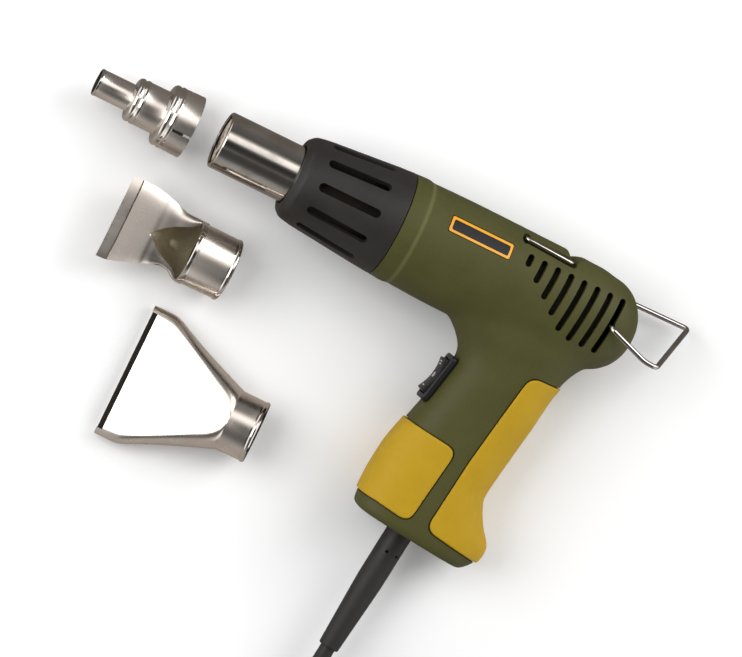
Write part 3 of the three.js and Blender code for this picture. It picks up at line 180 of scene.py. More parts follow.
table_white, tree, shader = new_material("table_white")
spot = joined(tree, "SeparateXYZ", {0: joined(tree, "NewGeometry", {}).outputs["Position"]}).outputs
# Painted reflection: to glossy rays the table top is grey before the tool and dark behind it, to all else
# white.
painted_reflection = mixed(tree, ranged(tree, spot["Y"], *REFLECTED_EDGE), REFLECTED_NEAR, REFLECTED_FAR)
mirrored = joined(tree, "LightPath", {}).outputs["Is Glossy Ray"]
tree.links.new(mixed(tree, mirrored, TABLE_WHITE, painted_reflection), shader.inputs["Base Color"])
shader.inputs["Roughness"].default_value = 0.9
shader.inputs["Specular IOR Level"].default_value = 0.1
table_top = bmesh.new()
bmesh.ops.create_grid(table_top, x_segments=4, y_segments=4, size=TABLE_HALF)
table = linked("table_top", mesh_of(table_top, "table_top"))
table.data.materials.append(table_white)
table.location.z = -TABLE_DROP


# Mains lead: two cores in a round black rubber jacket, 2 m long, of which the last 45 mm are in
# the sleeve and the handle. The spare length lies in a tied coil of two layers on the table.
CORD_DIAMETER = 0.0066
SLEEVE_LENGTH = 0.056
LEAD_INSIDE = 0.004
EXIT_PLACE = Vector((0.1396, -0.11296, 0))
EXIT_TURN = math.radians(-95.6)
LEAD_POINTS = [
    (0.1327, -0.1823, 0.0112), (0.1317, -0.1906, 0.0090),
    (0.1309, -0.1992, 0.0069), (0.1303, -0.2081, 0.0053),
]
COIL_START = Vector((0.1300, -0.2170, 0.0047))
COIL_INNER = 0.0266
COIL_TURNS = 7.25
COIL_PITCH = 0.0073
COIL_STEPS = 48
TAIL_OUT = 0.005
TAIL_TURN = math.radians(62)
TAIL_STEPS = 18
TAIL_LOW = 0.0036
TAIL_DIP = 0.75
PLUG_AXIS = 0.00695
PLUG_GAP = 0.0003


def heading(turn, length=1, height=0):
    """A step of some length over the table, turned from the x axis, and its height."""
    return Vector((length * math.cos(turn), length * math.sin(turn), height))


def exit_point(along):
    """A point on the line on which the lead leaves the handle."""
    return TOOL_FRAME @ (EXIT_PLACE + heading(EXIT_TURN) * along)


def ease(share):
    return share * share * (3 - 2 * share)


def blend_of(start, end, share):
    return start + (end - start) * share


route = [exit_point(SLEEVE_LENGTH + along) for along in (-LEAD_INSIDE, 0, CORD_DIAMETER)]
coil_middle = COIL_TURNS / 2
coil_outer = COIL_INNER + COIL_PITCH * coil_middle
coil_centre = COIL_START + Vector((coil_outer, -CORD_DIAMETER, 0))
route += [TABLE_FRAME @ Vector(point) for point in (*LEAD_POINTS, COIL_START)]
coil_points = round(COIL_TURNS * COIL_STEPS)
for step in range(coil_points + 1):
    turn = COIL_TURNS * step / coil_points
    radius = COIL_INNER + COIL_PITCH * abs(turn - coil_middle)
    climb = ease(min(1, max(0, (turn - coil_middle) * 2 + 0.5)))
    offset = heading(math.pi + 2 * math.pi * turn, radius, COIL_PITCH * climb)
    route.append(TABLE_FRAME @ (coil_centre + offset))
tail_start = math.pi + 2 * math.pi * COIL_TURNS
tail_step = heading(tail_start + math.pi / 2) * (CORD_DIAMETER + PLUG_GAP)
for step in range(TAIL_STEPS + 1):
    share = step / TAIL_STEPS
    radius = coil_outer + (TAIL_OUT + CORD_DIAMETER) * ease(share)
    point = coil_centre + heading(tail_start + TAIL_TURN * share, radius) + tail_step
    if share < TAIL_DIP:
        point.z = blend_of(COIL_START.z + COIL_PITCH, TAIL_LOW, ease(share / TAIL_DIP))
    else:
        point.z = blend_of(TAIL_LOW, PLUG_AXIS, ease((share - TAIL_DIP) / (1 - TAIL_DIP)))
    route.append(TABLE_FRAME @ point)
plug_turn = tail_start + TAIL_TURN + math.pi / 2
plug_way = heading(plug_turn)
cord_end = route[-1] + plug_way * CORD_DIAMETER
route.append(cord_end)


def settled(thing):
    """The shape of an object with its modifiers."""
    bpy.context.view_layer.update()
    mesh = bpy.data.meshes.new_from_object(thing.evaluated_get(bpy.context.evaluated_depsgraph_get()))
    bm = bmesh.new()
    bm.from_mesh(mesh)
    bpy.data.meshes.remove(mesh)
    return bm


def wire_tube(points, radius, resolution=5):
    """A closed round tube along a line of points."""
    curve = bpy.data.curves.new("wire", "CURVE")
    curve.dimensions = "3D"
    curve.bevel_depth = radius
    curve.bevel_resolution = resolution
    curve.use_fill_caps = True
    spline = curve.splines.new("POLY")
    spline.points.add(len(points) - 1)
    for point, place in zip(spline.points, points):
        point.co = (*place, 1)
    bm = settled(linked("wire", curve))
    bpy.data.curves.remove(curve)
    bmesh.ops.remove_doubles(bm, verts=bm.verts, dist=1e-7)
    bmesh.ops.recalc_face_normals(bm, faces=bm.faces)
    return bm


def finished(bm, name, body, slot, material, *nodes, place=TOOL_FRAME, sharp=32, also=()):
    """The piece as an object at the origin that rides on its body and stands for its nodes."""
    bmesh.ops.transform(bm, matrix=place, verts=bm.verts)
    mesh = mesh_of(bm, name)
    mesh.shade_smooth()
    mesh.set_sharp_from_angle(angle=math.radians(sharp))
    for finish in (material, *also):
        mesh.materials.append(finish)
    piece = linked(name, mesh)
    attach(piece, body)
    if nodes:
        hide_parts(*nodes)
    return piece


COLOUR, VALUE, POINT = "NodeSocketColor", "NodeSocketFloat", "NodeSocketVector"


def new_group(name, **inputs):
    """A shader node group, what it is given, and the colour, roughness and height that it puts out."""
    group = bpy.data.node_groups.new(name, "ShaderNodeTree")
    for label, kind in inputs.items():
        group.interface.new_socket(label, in_out="INPUT", socket_type=kind)
    for label, kind in (("Colour", COLOUR), ("Roughness", VALUE), ("Height", VALUE)):
        group.interface.new_socket(label, in_out="OUTPUT", socket_type=kind)
    return group, group.nodes.new("NodeGroupInput").outputs, group.nodes.new("NodeGroupOutput").inputs


def noise(tree, point, scale, detail, roughness, distortion=0.0):
    return joined(tree, "TexNoise", {
        "Vector": point, "Scale": scale, "Detail": detail, "Roughness": roughness, "Distortion": distortion,
    }).outputs[0]


# Moulded grain: the fine eroded texture of a mould, slow shade differences and a little dust.
moulded, given, look = new_group(
    "moulded_grain", Point=POINT, Colour=COLOUR, Shade=COLOUR, Grain=VALUE, Matt=VALUE, Gloss=VALUE,
)
clouds = noise(moulded, given["Point"], 55.0, 3.0, 0.55)
speck = noise(moulded, given["Point"], given["Grain"], 2.0, 0.6)
cells = joined(
    moulded, "TexVoronoi", {"Vector": given["Point"], "Scale": given["Grain"]}, feature="SMOOTH_F1",
).outputs[0]
dust = maths(moulded, "MULTIPLY_ADD", speck, 0.5, ranged(moulded, clouds, 0.32, 0.68, 0.0, 0.75))
moulded.links.new(mixed(moulded, dust, given["Colour"], given["Shade"]), look["Colour"])
moulded.links.new(ranged(moulded, clouds, 0.3, 0.7, given["Gloss"], given["Matt"]), look["Roughness"])
moulded.links.new(maths(moulded, "MULTIPLY_ADD", cells, 0.7, speck), look["Height"])


def srgb(*levels):
    """A colour as a screen shows it, 0 to 255, in the shader's linear values."""
    shares = [level / 255 for level in levels]
    return (*(s / 12.92 if s <= 0.04045 else ((s + 0.055) / 1.055) ** 2.4 for s in shares), 1)


def grouped_finish(name, group, values, bump, depth):
    """A material and its shader, with colour, roughness and relief from a node group."""
    material, tree, shader = new_material(name)
    point = joined(tree, "TexCoord", {}).outputs["Object"]
    look = joined(tree, "Group", {"Point": point, **values}, node_tree=group).outputs
    ripple = joined(tree, "Bump", {"Strength": bump, "Distance": depth, "Height": look["Height"]})
    tree.links.new(look["Colour"], shader.inputs["Base Color"])
    tree.links.new(look["Roughness"], shader.inputs["Roughness"])
    tree.links.new(ripple.outputs["Normal"], shader.inputs["Normal"])
    return material, shader


def moulded_finish(name, colour, shade, grain, gloss, matt, bump=0.06, specular=0.4):
    """A material for a moulded piece: plastic or rubber."""
    values = {"Colour": srgb(*colour), "Shade": srgb(*shade), "Grain": grain, "Gloss": gloss, "Matt": matt}
    material, shader = grouped_finish(name, moulded, values, bump, 0.0004)
    shader.inputs["Specular IOR Level"].default_value = specular
    return material


black_rubber = moulded_finish(
    "black_rubber", (33, 31, 30), (40, 38, 37), 2600.0, gloss=0.5, matt=0.66, bump=0.12, specular=0.3,
)
mains_lead = finished(
    wire_tube(route, CORD_DIAMETER / 2, 6), "mains_lead", "tool", "black_rubber", black_rubber,
    "cord_lead", "cord_coil", "cord_tail", place=Matrix.Identity(4),
)


# Mains plug: a flat two-pin plug moulded in rubber round the end of the lead, with a ribbed neck
# that lets the lead bend, and two round pins of bright metal.
PLUG_NECK = 0.014
PLUG_LENGTH = 0.034
PLUG_WIDTH = 0.0353
PLUG_THROAT = 0.016
PLUG_THICK = 0.0137
PLUG_SHOULDER = 0.55
PLUG_EDGE = 0.0016
NECK_TIP = 0.0040
NECK_ROOT = 0.0052
RIBS = 5
RIB_PITCH = 0.0026
RIB_DEEP = 0.0008
PIN_RADIUS = 0.002
PIN_ROOT = 0.002
PIN_LENGTH = 0.019
PIN_ROUND = 0.0012
PIN_SPREAD = 0.0093
PLUG_FRAME = Matrix.Translation(cord_end + plug_way * PLUG_GAP) @ Matrix.Rotation(plug_turn, 4, "Z")


def rounded_end(start, corner, end, steps=6):
    """A short curve from start to end that leans towards a corner."""
    start, corner, end = Vector(start), Vector(corner), Vector(end)
    shares = [step / steps for step in range(steps + 1)]
    return [blend_of(blend_of(start, corner, share), blend_of(corner, end, share), share) for share in shares]


def softened(corners, steps=5):
    """An outline of (x, y, radius) corners with each corner rounded by a short curve."""
    points = []
    for k, (x, y, radius) in enumerate(corners):
        corner = Vector((x, y))
        if not radius:
            points.append(corner)
            continue
        before = Vector(corners[k - 1][:2]) - corner
        after = Vector(corners[(k + 1) % len(corners)][:2]) - corner
        start = corner + before.normalized() * radius
        points += rounded_end(start, corner, corner + after.normalized() * radius, steps)
    return points


def turned(profile, steps=96):
    """A closed profile of (x, radius) points spun about the x axis."""
    bm = bmesh.new()
    verts = [bm.verts.new((point[0], point[1], 0)) for point in profile]
    edges = [bm.edges.new(pair) for pair in zip(verts, verts[1:] + verts[:1])]
    bmesh.ops.spin(
        bm, geom=verts + edges, cent=(0, 0, 0), axis=(1, 0, 0), angle=2 * math.pi, steps=steps,
        use_merge=True,
    )
    bmesh.ops.remove_doubles(bm, verts=bm.verts, dist=1e-6)
    bmesh.ops.dissolve_degenerate(bm, edges=bm.edges, dist=1e-7)
    loose = [edge for edge in bm.edges if not edge.link_faces]
    bmesh.ops.delete(bm, geom=loose, context="EDGES")
    bmesh.ops.recalc_face_normals(bm, faces=bm.faces)
    return bm


def only(kind, geom):
    return [item for item in geom if isinstance(item, kind)]


def raised(bm, depth):
    """The faces of a flat shape carried up along z."""
    grown = bmesh.ops.extrude_face_region(bm, geom=bm.faces[:], use_keep_orig=True)["geom"]
    bmesh.ops.translate(bm, verts=only(bmesh.types.BMVert, grown), vec=(0, 0, depth))
    bmesh.ops.recalc_face_normals(bm, faces=bm.faces)
    return bm


def slab(outline, low, high):
    """An outline in x and y carried along z."""
    bm = bmesh.new()
    bm.faces.new([bm.verts.new((point[0], point[1], low)) for point in outline])
    return raised(bm, high - low)


def together(*parts):
    """Several bodies in one bmesh, side by side or overlapping."""
    bm = bmesh.new()
    for part in parts:
        mesh = mesh_of(part, "part")
        bm.from_mesh(mesh)
        bpy.data.meshes.remove(mesh)
    return bm


def rim(bm, angle):
    """Edges where two faces meet at more than an angle."""
    bend = math.radians(angle)
    return [edge for edge in bm.edges if len(edge.link_faces) == 2 and edge.calc_face_angle() > bend]


def rounded(bm, edges, offset, segments, clamp=False):
    """Some edges of a body rounded off."""
    bmesh.ops.bevel(
        bm, geom=edges, offset=offset, offset_type="OFFSET", segments=segments, profile=0.5,
        affect="EDGES", material=-1, clamp_overlap=clamp,
    )


plug_face = PLUG_NECK + PLUG_LENGTH
plug_half = [
    (PLUG_NECK - 0.002, PLUG_THROAT / 2, 0.004),
    (PLUG_NECK + PLUG_SHOULDER * PLUG_LENGTH, PLUG_WIDTH / 2, 0.005),
    (plug_face, PLUG_WIDTH / 2, 0.004),
]
plug_corners = [(x, -y, round_off) for x, y, round_off in plug_half] + plug_half[::-1]
plug_grip = slab(softened(plug_corners, 6), -PLUG_THICK / 2, PLUG_THICK / 2)
rounded(plug_grip, rim(plug_grip, 50), PLUG_EDGE, 4, True)
neck_profile = [(0.0, 0.0), (0.0, NECK_TIP)]
for rib in range(RIBS):
    start = 0.0012 + rib * RIB_PITCH
    wide = 0.0043 + 0.0002 * rib
    neck_profile += [(start, wide), (start + 0.0014, wide)]
    neck_profile += [(start + 0.0016, wide - RIB_DEEP), (start + 0.0024, wide - RIB_DEEP)]
neck_profile += [(PLUG_NECK, NECK_ROOT), (PLUG_NECK + 0.004, NECK_ROOT), (PLUG_NECK + 0.004, 0.0)]
mains_plug = finished(
    together(plug_grip, turned(neck_profile, 48)), "mains_plug", "tool", "black_plastic", black_rubber,
    "plug_body", place=PLUG_FRAME,
)

# Bright metal: drawn or pressed sheet, polished, with faint marks and smudges in its gloss.
bright, given, look = new_group(
    "bright_metal", Point=POINT, Colour=COLOUR, Stain=COLOUR, Smooth=VALUE, Rough=VALUE,
)
smudge = noise(bright, given["Point"], 90.0, 4.0, 0.6, 0.4)
stained = mixed(bright, ranged(bright, smudge, 0.45, 0.8, 0.0, 0.7), given["Colour"], given["Stain"])
bright.links.new(stained, look["Colour"])
bright.links.new(ranged(bright, smudge, 0.35, 0.75, given["Smooth"], given["Rough"]), look["Roughness"])
bright.links.new(noise(bright, given["Point"], 900.0, 2.0, 0.5), look["Height"])


def metal_finish(name, colour, stain, smooth, rough, bump=0.02, metallic=1.0):
    """A material for a metal piece."""
    values = {"Colour": srgb(*colour), "Stain": srgb(*stain), "Smooth": smooth, "Rough": rough}
    material, shader = grouped_finish(name, bright, values, bump, 0.0002)
    shader.inputs["Metallic"].default_value = metallic
    return material


pin_brass = metal_finish("pin_brass", (214, 184, 112), (170, 138, 78), 0.2, 0.38, bump=0.006)
for number, side in ((1, -1), (2, 1)):
    root, tip = plug_face - PIN_ROOT, plug_face + PIN_LENGTH
    pin = turned(softened([
        (root, 0, 0), (root, PIN_RADIUS, 0), (tip, PIN_RADIUS, PIN_ROUND), (tip, 0, 0),
    ]), 32)
    bmesh.ops.translate(pin, verts=pin.verts, vec=(0, side * PIN_SPREAD, 0))
    finished(
        pin, f"mains_pin_{number}", "tool", "brass", pin_brass, f"plug_pin_{number}", place=PLUG_FRAME,
    )


# Cord tie: a flat rubber band, punched from sheet, closed round all turns of the coil and pulled
# tight. Only its own tension holds it.
TIE_THICK = 0.0009
TIE_WIDE = 0.008
TIE_TURN = math.radians(62)
TIE_IN = 0.0231
TIE_OUT = 0.0525
TIE_LOW = 0.0009
TIE_HIGH = 0.0161
TIE_ROUND = 0.0030
TIE_EDGE = 0.00025


def band_outline(grow):
    inner, outer, low, high = TIE_IN - grow, TIE_OUT + grow, TIE_LOW - grow, TIE_HIGH + grow
    corners = ((inner, low), (outer, low), (outer, high), (inner, high))
    return softened([(*corner, TIE_ROUND + grow) for corner in corners], 6)


def carved(bm, cutter, operation="DIFFERENCE"):
    """One closed body cut by another, joined with it or limited to it."""
    body, other = (linked("scratch", mesh_of(part, "scratch")) for part in (bm, cutter))
    boolean = body.modifiers.new("carve", "BOOLEAN")
    boolean.solver = "MANIFOLD"
    boolean.operation = operation
    boolean.object = other
    result = settled(body)
    for used in (body, other):
        bpy.data.meshes.remove(used.data)
    return result


def rolled(bm, angle, axis):
    """A body turned about an axis."""
    bmesh.ops.rotate(bm, verts=bm.verts, cent=(0, 0, 0), matrix=Matrix.Rotation(angle, 3, axis))
    return bm


tie_band = carved(
    slab(band_outline(TIE_THICK), -TIE_WIDE / 2, TIE_WIDE / 2), slab(band_outline(0), -TIE_WIDE, TIE_WIDE),
)
rolled(rolled(tie_band, math.pi / 2, "X"), TIE_TURN, "Z")
rounded(tie_band, rim(tie_band, 50), TIE_EDGE, 2, True)
coil_tie = finished(
    tie_band, "coil_tie", "tool", "black_rubber", black_rubber, "cord_tie",
    place=TABLE_FRAME @ Matrix.Translation((coil_centre.x, coil_centre.y, 0)),
)


# Outlet tube: drawn steel tube with a turned-in lip, polished in front of the guard and dark inside it,
# where its rear end is clamped: heat scale there, and painted shade under the guard.
TUBE_RADIUS = 0.0123
TUBE_BORE = 0.0114
TUBE_LENGTH = 0.084
LIP_BORE = 0.0107
LIP_DEPTH = 0.0013
LIP_ROUND = 0.0012
# the tube's dark part inside the guard, heat scale and painted shade: where it starts, its fade, colour,
# roughness
SCALE_AND_SHADE_START = 0.034
SCALE_AND_SHADE_FADE = 0.004
SCALE_AND_SHADE_COLOUR = srgb(66, 58, 52)
SCALE_ROUGH = (0.55, 0.55, 0.55, 1)
BRIGHT_STEEL = ((203, 196, 188), (150, 140, 130), 0.09, 0.2, 0.012)


def place_along(material):
    """How far along the tool a point of a material lies."""
    point = material.node_tree.nodes["Texture Coordinate"].outputs["Object"]
    return joined(material.node_tree, "SeparateXYZ", {0: point}).outputs["X"]


def covered(material, socket, mask, cover):
    """A shader's input with a cover mixed over what feeds it."""
    tree = material.node_tree
    fed = tree.nodes["Principled BSDF"].inputs[socket]
    tree.links.new(mixed(tree, mask, fed.links[0].from_socket, cover), fed)


outlet = turned(softened([
    (LIP_DEPTH, TUBE_BORE, 0), (LIP_DEPTH / 2, LIP_BORE, 0.0001), (0, LIP_BORE, 0.0003),
    (0, TUBE_RADIUS, LIP_ROUND), (TUBE_LENGTH, TUBE_RADIUS, 0), (TUBE_LENGTH, TUBE_BORE, 0),
], 6), 128)
tube_steel = metal_finish("tube_steel", *BRIGHT_STEEL)
darkened_from = TABLE_FRAME.translation.x + SCALE_AND_SHADE_START
# Painted shade with the heat scale: behind the guard's front the steel turns dark and dull.
scale = ranged(tube_steel.node_tree, place_along(tube_steel), darkened_from, darkened_from + SCALE_AND_SHADE_FADE)
covered(tube_steel, "Base Color", scale, SCALE_AND_SHADE_COLOUR)
covered(tube_steel, "Roughness", scale, SCALE_ROUGH)
finished(outlet, "outlet_tube", "tool", "polished_steel", tube_steel, "nozzle_tube")


# Heater: a holed ceramic core in a mica sleeve inside the tube. The resistance wire runs back and
# forth through the holes, and a terminal ring with a thermal cut-out closes it at the rear.
CORE_FRONT = 0.0012
CORE_REAR = 0.069
CORE_RADIUS = 0.0103
CORE_EDGE = 0.0005
CORE_HOLES = 7
CORE_HOLE_RADIUS = 0.0012
CORE_HOLE_INNER = 0.0042
CORE_HOLE_OUTER = 0.0086
CORE_HOLE_TURN = math.radians(20)
CORE_HOLE_LENGTH = 0.09


def pill(start, end, width, low, high, segments=24):
    """A round-ended slot from start to end in the x and y plane, carried along z."""
    bm = bmesh.new()
    way = Vector(end) - Vector(start)
    bmesh.ops.create_circle(bm, cap_ends=True, segments=segments, radius=width / 2)
    ahead = [vert for vert in bm.verts if vert.co.dot(Vector((*way, 0))) > 1e-9]
    bmesh.ops.translate(bm, verts=ahead, vec=(*way, 0))
    bmesh.ops.translate(bm, verts=bm.verts, vec=(*start, low))
    return raised(bm, high - low)


def rod(radius, length, place, segments=28):
    """A round bar along the z axis of a place."""
    bm = bmesh.new()
    bmesh.ops.create_cone(
        bm, cap_ends=True, segments=segments, radius1=radius, radius2=radius, depth=length, matrix=place,
    )
    return bm


def dress(material, *nodes):
    """A procedural finish for pieces that keep their own solid."""
    for node in nodes:
        frame["nodes"][node].material_slots[0].material = material


ceramic = moulded_finish(
    "ceramic", (226, 214, 202), (196, 180, 166), 1800.0, gloss=0.6, matt=0.8, bump=0.2, specular=0.3,
)
core = turned(softened([
    (CORE_FRONT, 0, 0), (CORE_FRONT, CORE_RADIUS, CORE_EDGE), (CORE_REAR, CORE_RADIUS, 0), (CORE_REAR, 0, 0),
]), 72)
hole_middle = Matrix.Translation((CORE_FRONT + 0.03, 0, 0))
holes = [rod(CORE_HOLE_RADIUS, CORE_HOLE_LENGTH, hole_middle @ Matrix.Rotation(math.pi / 2, 4, "Y"))]
for k in range(CORE_HOLES):
    opening = pill((CORE_HOLE_INNER, 0), (CORE_HOLE_OUTER, 0), 2 * CORE_HOLE_RADIUS, -0.02, CORE_HOLE_LENGTH)
    turn = CORE_HOLE_TURN + 2 * math.pi * k / CORE_HOLES
    holes.append(rolled(rolled(opening, math.pi / 2, "Y"), turn, "X"))
finished(carved(core, together(*holes)), "holed_core", "tool", "ceramic", ceramic, "heater_core")
dull_zinc = metal_finish("dull_zinc", (176, 176, 172), (128, 128, 126), 0.32, 0.5)
mica = moulded_finish("mica", (182, 160, 120), (150, 124, 84), 700.0, gloss=0.35, matt=0.6, bump=0.1)
dress(mica, "mica_sleeve")
dress(metal_finish("heater_wire", (150, 138, 128), (92, 80, 72), 0.4, 0.6), "heating_element")
dress(ceramic, "terminal_ring")
dress(dull_zinc, "thermal_cutout", "tube_flange")


# Heat guard: one moulding of black heat-proof plastic, a cone with eleven long slots that lets cool
# air in round the tube. The half shells close on its spigot.
GUARD_FRONT = 0.0331
GUARD_HOLE = 0.0130
GUARD_END = 0.0790
GUARD_WALL = 0.0024
GUARD_SPIGOT = 0.0070
GUARD_SEAT = 0.0169
GUARD_SLOTS = 11
SLOT_START = 0.0421
SLOT_END = 0.0696
SLOT_WIDTH = 0.0038
SLOT_TURN = math.radians(4)
BARREL_RADIUS = 0.0226
WALL = 0.0024
GAP = 0.0003
black_plastic = moulded_finish(
    "black_plastic", (33, 30, 28), (40, 37, 35), 2200.0, gloss=0.42, matt=0.54, bump=0.22, specular=0.3,
)
spigot = BARREL_RADIUS - WALL - GAP
guard = turned(softened([
    (GUARD_FRONT, GUARD_HOLE, 0.0003), (GUARD_FRONT, 0.0157, 0.0008), (0.0356, 0.0180, 0.0012),
    (0.0407, 0.0190, 0.0020), (0.0712, 0.0220, 0.0020), (GUARD_END, BARREL_RADIUS, 0.0005),
    (GUARD_END, spigot, 0), (GUARD_END + GUARD_SPIGOT, spigot, 0), (GUARD_END + GUARD_SPIGOT, GUARD_SEAT, 0),
    (GUARD_END + 0.0032, GUARD_SEAT, 0), (GUARD_END + 0.0032, GUARD_HOLE, 0),
    (GUARD_END - 0.002, GUARD_HOLE, 0), (0.0722, 0.0220 - GUARD_WALL, 0),
    (0.0417, 0.0190 - GUARD_WALL, 0), (GUARD_FRONT + GUARD_WALL, GUARD_HOLE, 0),
]), 132)
slot_ends = (SLOT_START + SLOT_WIDTH / 2, 0), (SLOT_END - SLOT_WIDTH / 2, 0)
slots = []
for k in range(GUARD_SLOTS):
    turn = SLOT_TURN + 2 * math.pi * k / GUARD_SLOTS
    slots.append(rolled(pill(*slot_ends, SLOT_WIDTH, GUARD_HOLE, 0.03), -turn, "X"))
finished(
    carved(guard, together(*slots)), "slotted_guard", "tool", "black_plastic", black_plastic, "heat_guard",
)


# Blower: funnel, fan on its shaft, motor in a spider and the rectifier board behind it, all seen
# only through the air slots.
board_green = moulded_finish("board_green", (44, 92, 58), (36, 70, 46), 900.0, gloss=0.3, matt=0.5)
pale_wire = moulded_finish("pale_wire", (120, 112, 98), (98, 90, 78), 900.0, gloss=0.4, matt=0.6)
motor_paint = moulded_finish(
    "motor_paint", (44, 42, 36), (36, 34, 30), 900.0, gloss=0.7, matt=0.85, specular=0.08,
)
dress(black_plastic, "air_guide", "fan_impeller", "motor_mount", "cord_clamp")
dress(motor_paint, "motor_can")
dress(dull_zinc, "clamp_screw_1", "clamp_screw_2")
dress(metal_finish("polished_steel", *BRIGHT_STEEL), "motor_shaft")
dress(board_green, "rectifier_board")
dress(pale_wire, "lead_live", "lead_neutral")
dress(black_rubber, "cord_inner")


# Housing: two half shells of olive glass-filled nylon, barrel and pistol handle in one moulding,
# closed by five screws. The eroded mould leaves a fine satin grain.
SIDES = ((1, "left"), (-1, "right"))
FAR = 0.3
HOUSING_FRONT = 0.0793
FRONT_EDGE = 0.0006
FRONT_BORE = 0.026
REAR_END = 0.1909
DOME_SHARE = 0.985
PARTING = 0.00012
BARREL = [
    # x, how far top, bottom and sides stand inside the barrel radius, squareness
    (0.0693, 0, 0.0002, 0, 2), (0.0793, 0, 0, 0, 2), (0.0855, -0.0003, -0.0006, -0.0003, 2.05),
    (0.0875, 0.0005, 0.0001, 0.0006, 2.08), (0.0900, 0.0002, -0.0002, 0.0003, 2.1),
    (0.1100, 0, -0.0010, 0.0002, 2.25), (0.1480, 0.0004, -0.0009, 0.0003, 2.3),
    (0.1600, 0.0008, 0.0002, 0.0010, 2.3), (0.1680, 0.0011, 0.0013, 0.0022, 2.3),
    (0.1730, 0.0021, 0.0028, 0.0036, 2.3),
]
COLLAR_EDGE = 0.0872
# how far from the collar's edge its painted highlight stays full and where it has faded out
COLLAR_HIGHLIGHT = (0.0002, 0.0013)
HANDLE_HALF = 0.0162
HANDLE = [
    # front x and y, rear x and y, half thickness beyond the grip's, squareness
    (0.1040, -0.0020, 0.1760, -0.0020, 0.0008, 2.4), (0.1081, -0.0140, 0.1812, -0.0140, 0.0019, 2.4),
    (0.1132, -0.0210, 0.1768, -0.0205, 0.0029, 2.4), (0.1198, -0.0255, 0.1739, -0.0255, 0.0022, 2.4),
    (0.1254, -0.0310, 0.1720, -0.0310, 0.0013, 2.5), (0.1278, -0.0370, 0.1703, -0.0380, 0.0005, 2.6),
    (0.1259, -0.0480, 0.1687, -0.0500, 0, 2.7), (0.1232, -0.0600, 0.1667, -0.0620, -0.0001, 2.8),
    (0.1184, -0.0780, 0.1636, -0.0820, 0, 3), (0.1170, -0.0860, 0.1644, -0.0880, 0.0001, 3),
    (0.1162, -0.0950, 0.1684, -0.0955, 0.0002, 3), (0.1161, -0.1030, 0.1734, -0.1024, 0.0004, 3),
    (0.1164, -0.1072, 0.1733, -0.1086, 0.0004, 3), (0.1172, -0.1096, 0.1704, -0.1132, 0, 3),
    (0.1200, -0.1109, 0.1672, -0.11585, -0.0014, 3),
]
SKIN_VOXEL = 0.0009
BLENDS = [
    # low and high end along y of where barrel and handle run together, and rounds of smoothing
    (-0.038, -0.004, 20), (-0.031, -0.010, 40),
]
BLEND_OUT = 0.007
BASE_FLOOR = 0.0028
VENTS = 8
VENT_TOP = Vector((0.1338, 0.0130))
VENT_PITCH = 0.0062
VENT_WIDTH = 0.0028
VENT_SLANT = 0.1
VENT_FIRST = 0.0104
VENT_STEP = 0.00455
VENT_LOWEST = -0.0096
VENT_INSIDE = 0.008
HANG_PIVOT = Vector((0.1299, 0.0190))
HANG_BAR = Vector((0.1520, 0.0180))
HANG_SPREAD = 0.0125
HANG_HOLE = 0.0019
BAIL_WIRE = 0.001
GROOVE_GAP = 0.0012
ROOF = 0.0146
NOTCH_GAP = 0.00055
NOTCH_FLOOR = 0.0167
NOTCH_FLARE = 0.0016
NOTCH_REAR = 0.006
STAND_WIRE = 0.0011
STAND_NEAR = Vector((0.1769, 0.0014, 0.0202))
STAND_FAR = Vector((0.1769, 0.0133, -0.0166))
STAND_BORE = 0.02
FRONT_GRIP = [
    (0.1060, -0.1034, 0), (0.1220, -0.1044, 0), (0.1374, -0.1066, 0.005), (0.1426, -0.0716, 0.005),
    (0.1190, -0.0690, 0), (0.1060, -0.0676, 0),
]
REAR_GRIP = [
    (0.1454, -0.1060, 0.005), (0.1680, -0.1097, 0), (0.1840, -0.1121, 0), (0.1840, -0.0309, 0),
    (0.1564, -0.0309, 0.005), (0.1494, -0.0730, 0),
]
GRIP_POCKET = 0.0012
GRIP_GAP = 0.0005
SWITCH_AT = Vector((0.1259, -0.0489, 0))
SWITCH_TURN = math.radians(78.3)
BEZEL = Vector((0.0220, 0.0026, 0.0152))
SWITCH_BODY = Vector((0.0190, 0.0160, 0.0128))
LABEL_LOW = Vector((0.0974, 0.0083))
LABEL_HIGH = Vector((0.1251, 0.0145))
LABEL_ROUND = 0.0008
LABEL_POCKET = 0.0006
LABEL_INSIDE = 0.01
SCREWS = [(0.090, 0.017), (0.090, -0.017), (0.166, -0.020), (0.1366, -0.0662), (0.1506, -0.1112)]
SCREW_HOLE = 0.0024
SCREW_FLOOR = -0.005
SLEEVE_RADIUS = 0.00575
SLEEVE_HOLE = 0.009


def between(stations, place):
    """The values at a place among stations, on a smooth curve through them."""
    k = min(int(place), len(stations) - 2)
    share = place - k
    last = len(stations) - 1
    before, start, end, after = (Vector(stations[max(0, min(last, k + step))]) for step in (-1, 0, 1, 2))
    curve = 2 * start + (end - before) * share
    curve += (2 * before - 5 * start + 4 * end - after) * share ** 2
    curve += (3 * start - before - 3 * end + after) * share ** 3
    return curve / 2


def power(value, square):
    return math.copysign(abs(value) ** (2 / square), value)


def oval(count, square, place):
    """Points round an oval, a circle where square is 2 and boxier above it."""
    turns = [2 * math.pi * k / count for k in range(count)]
    return [place(power(math.cos(turn), square), power(math.sin(turn), square)) for turn in turns]


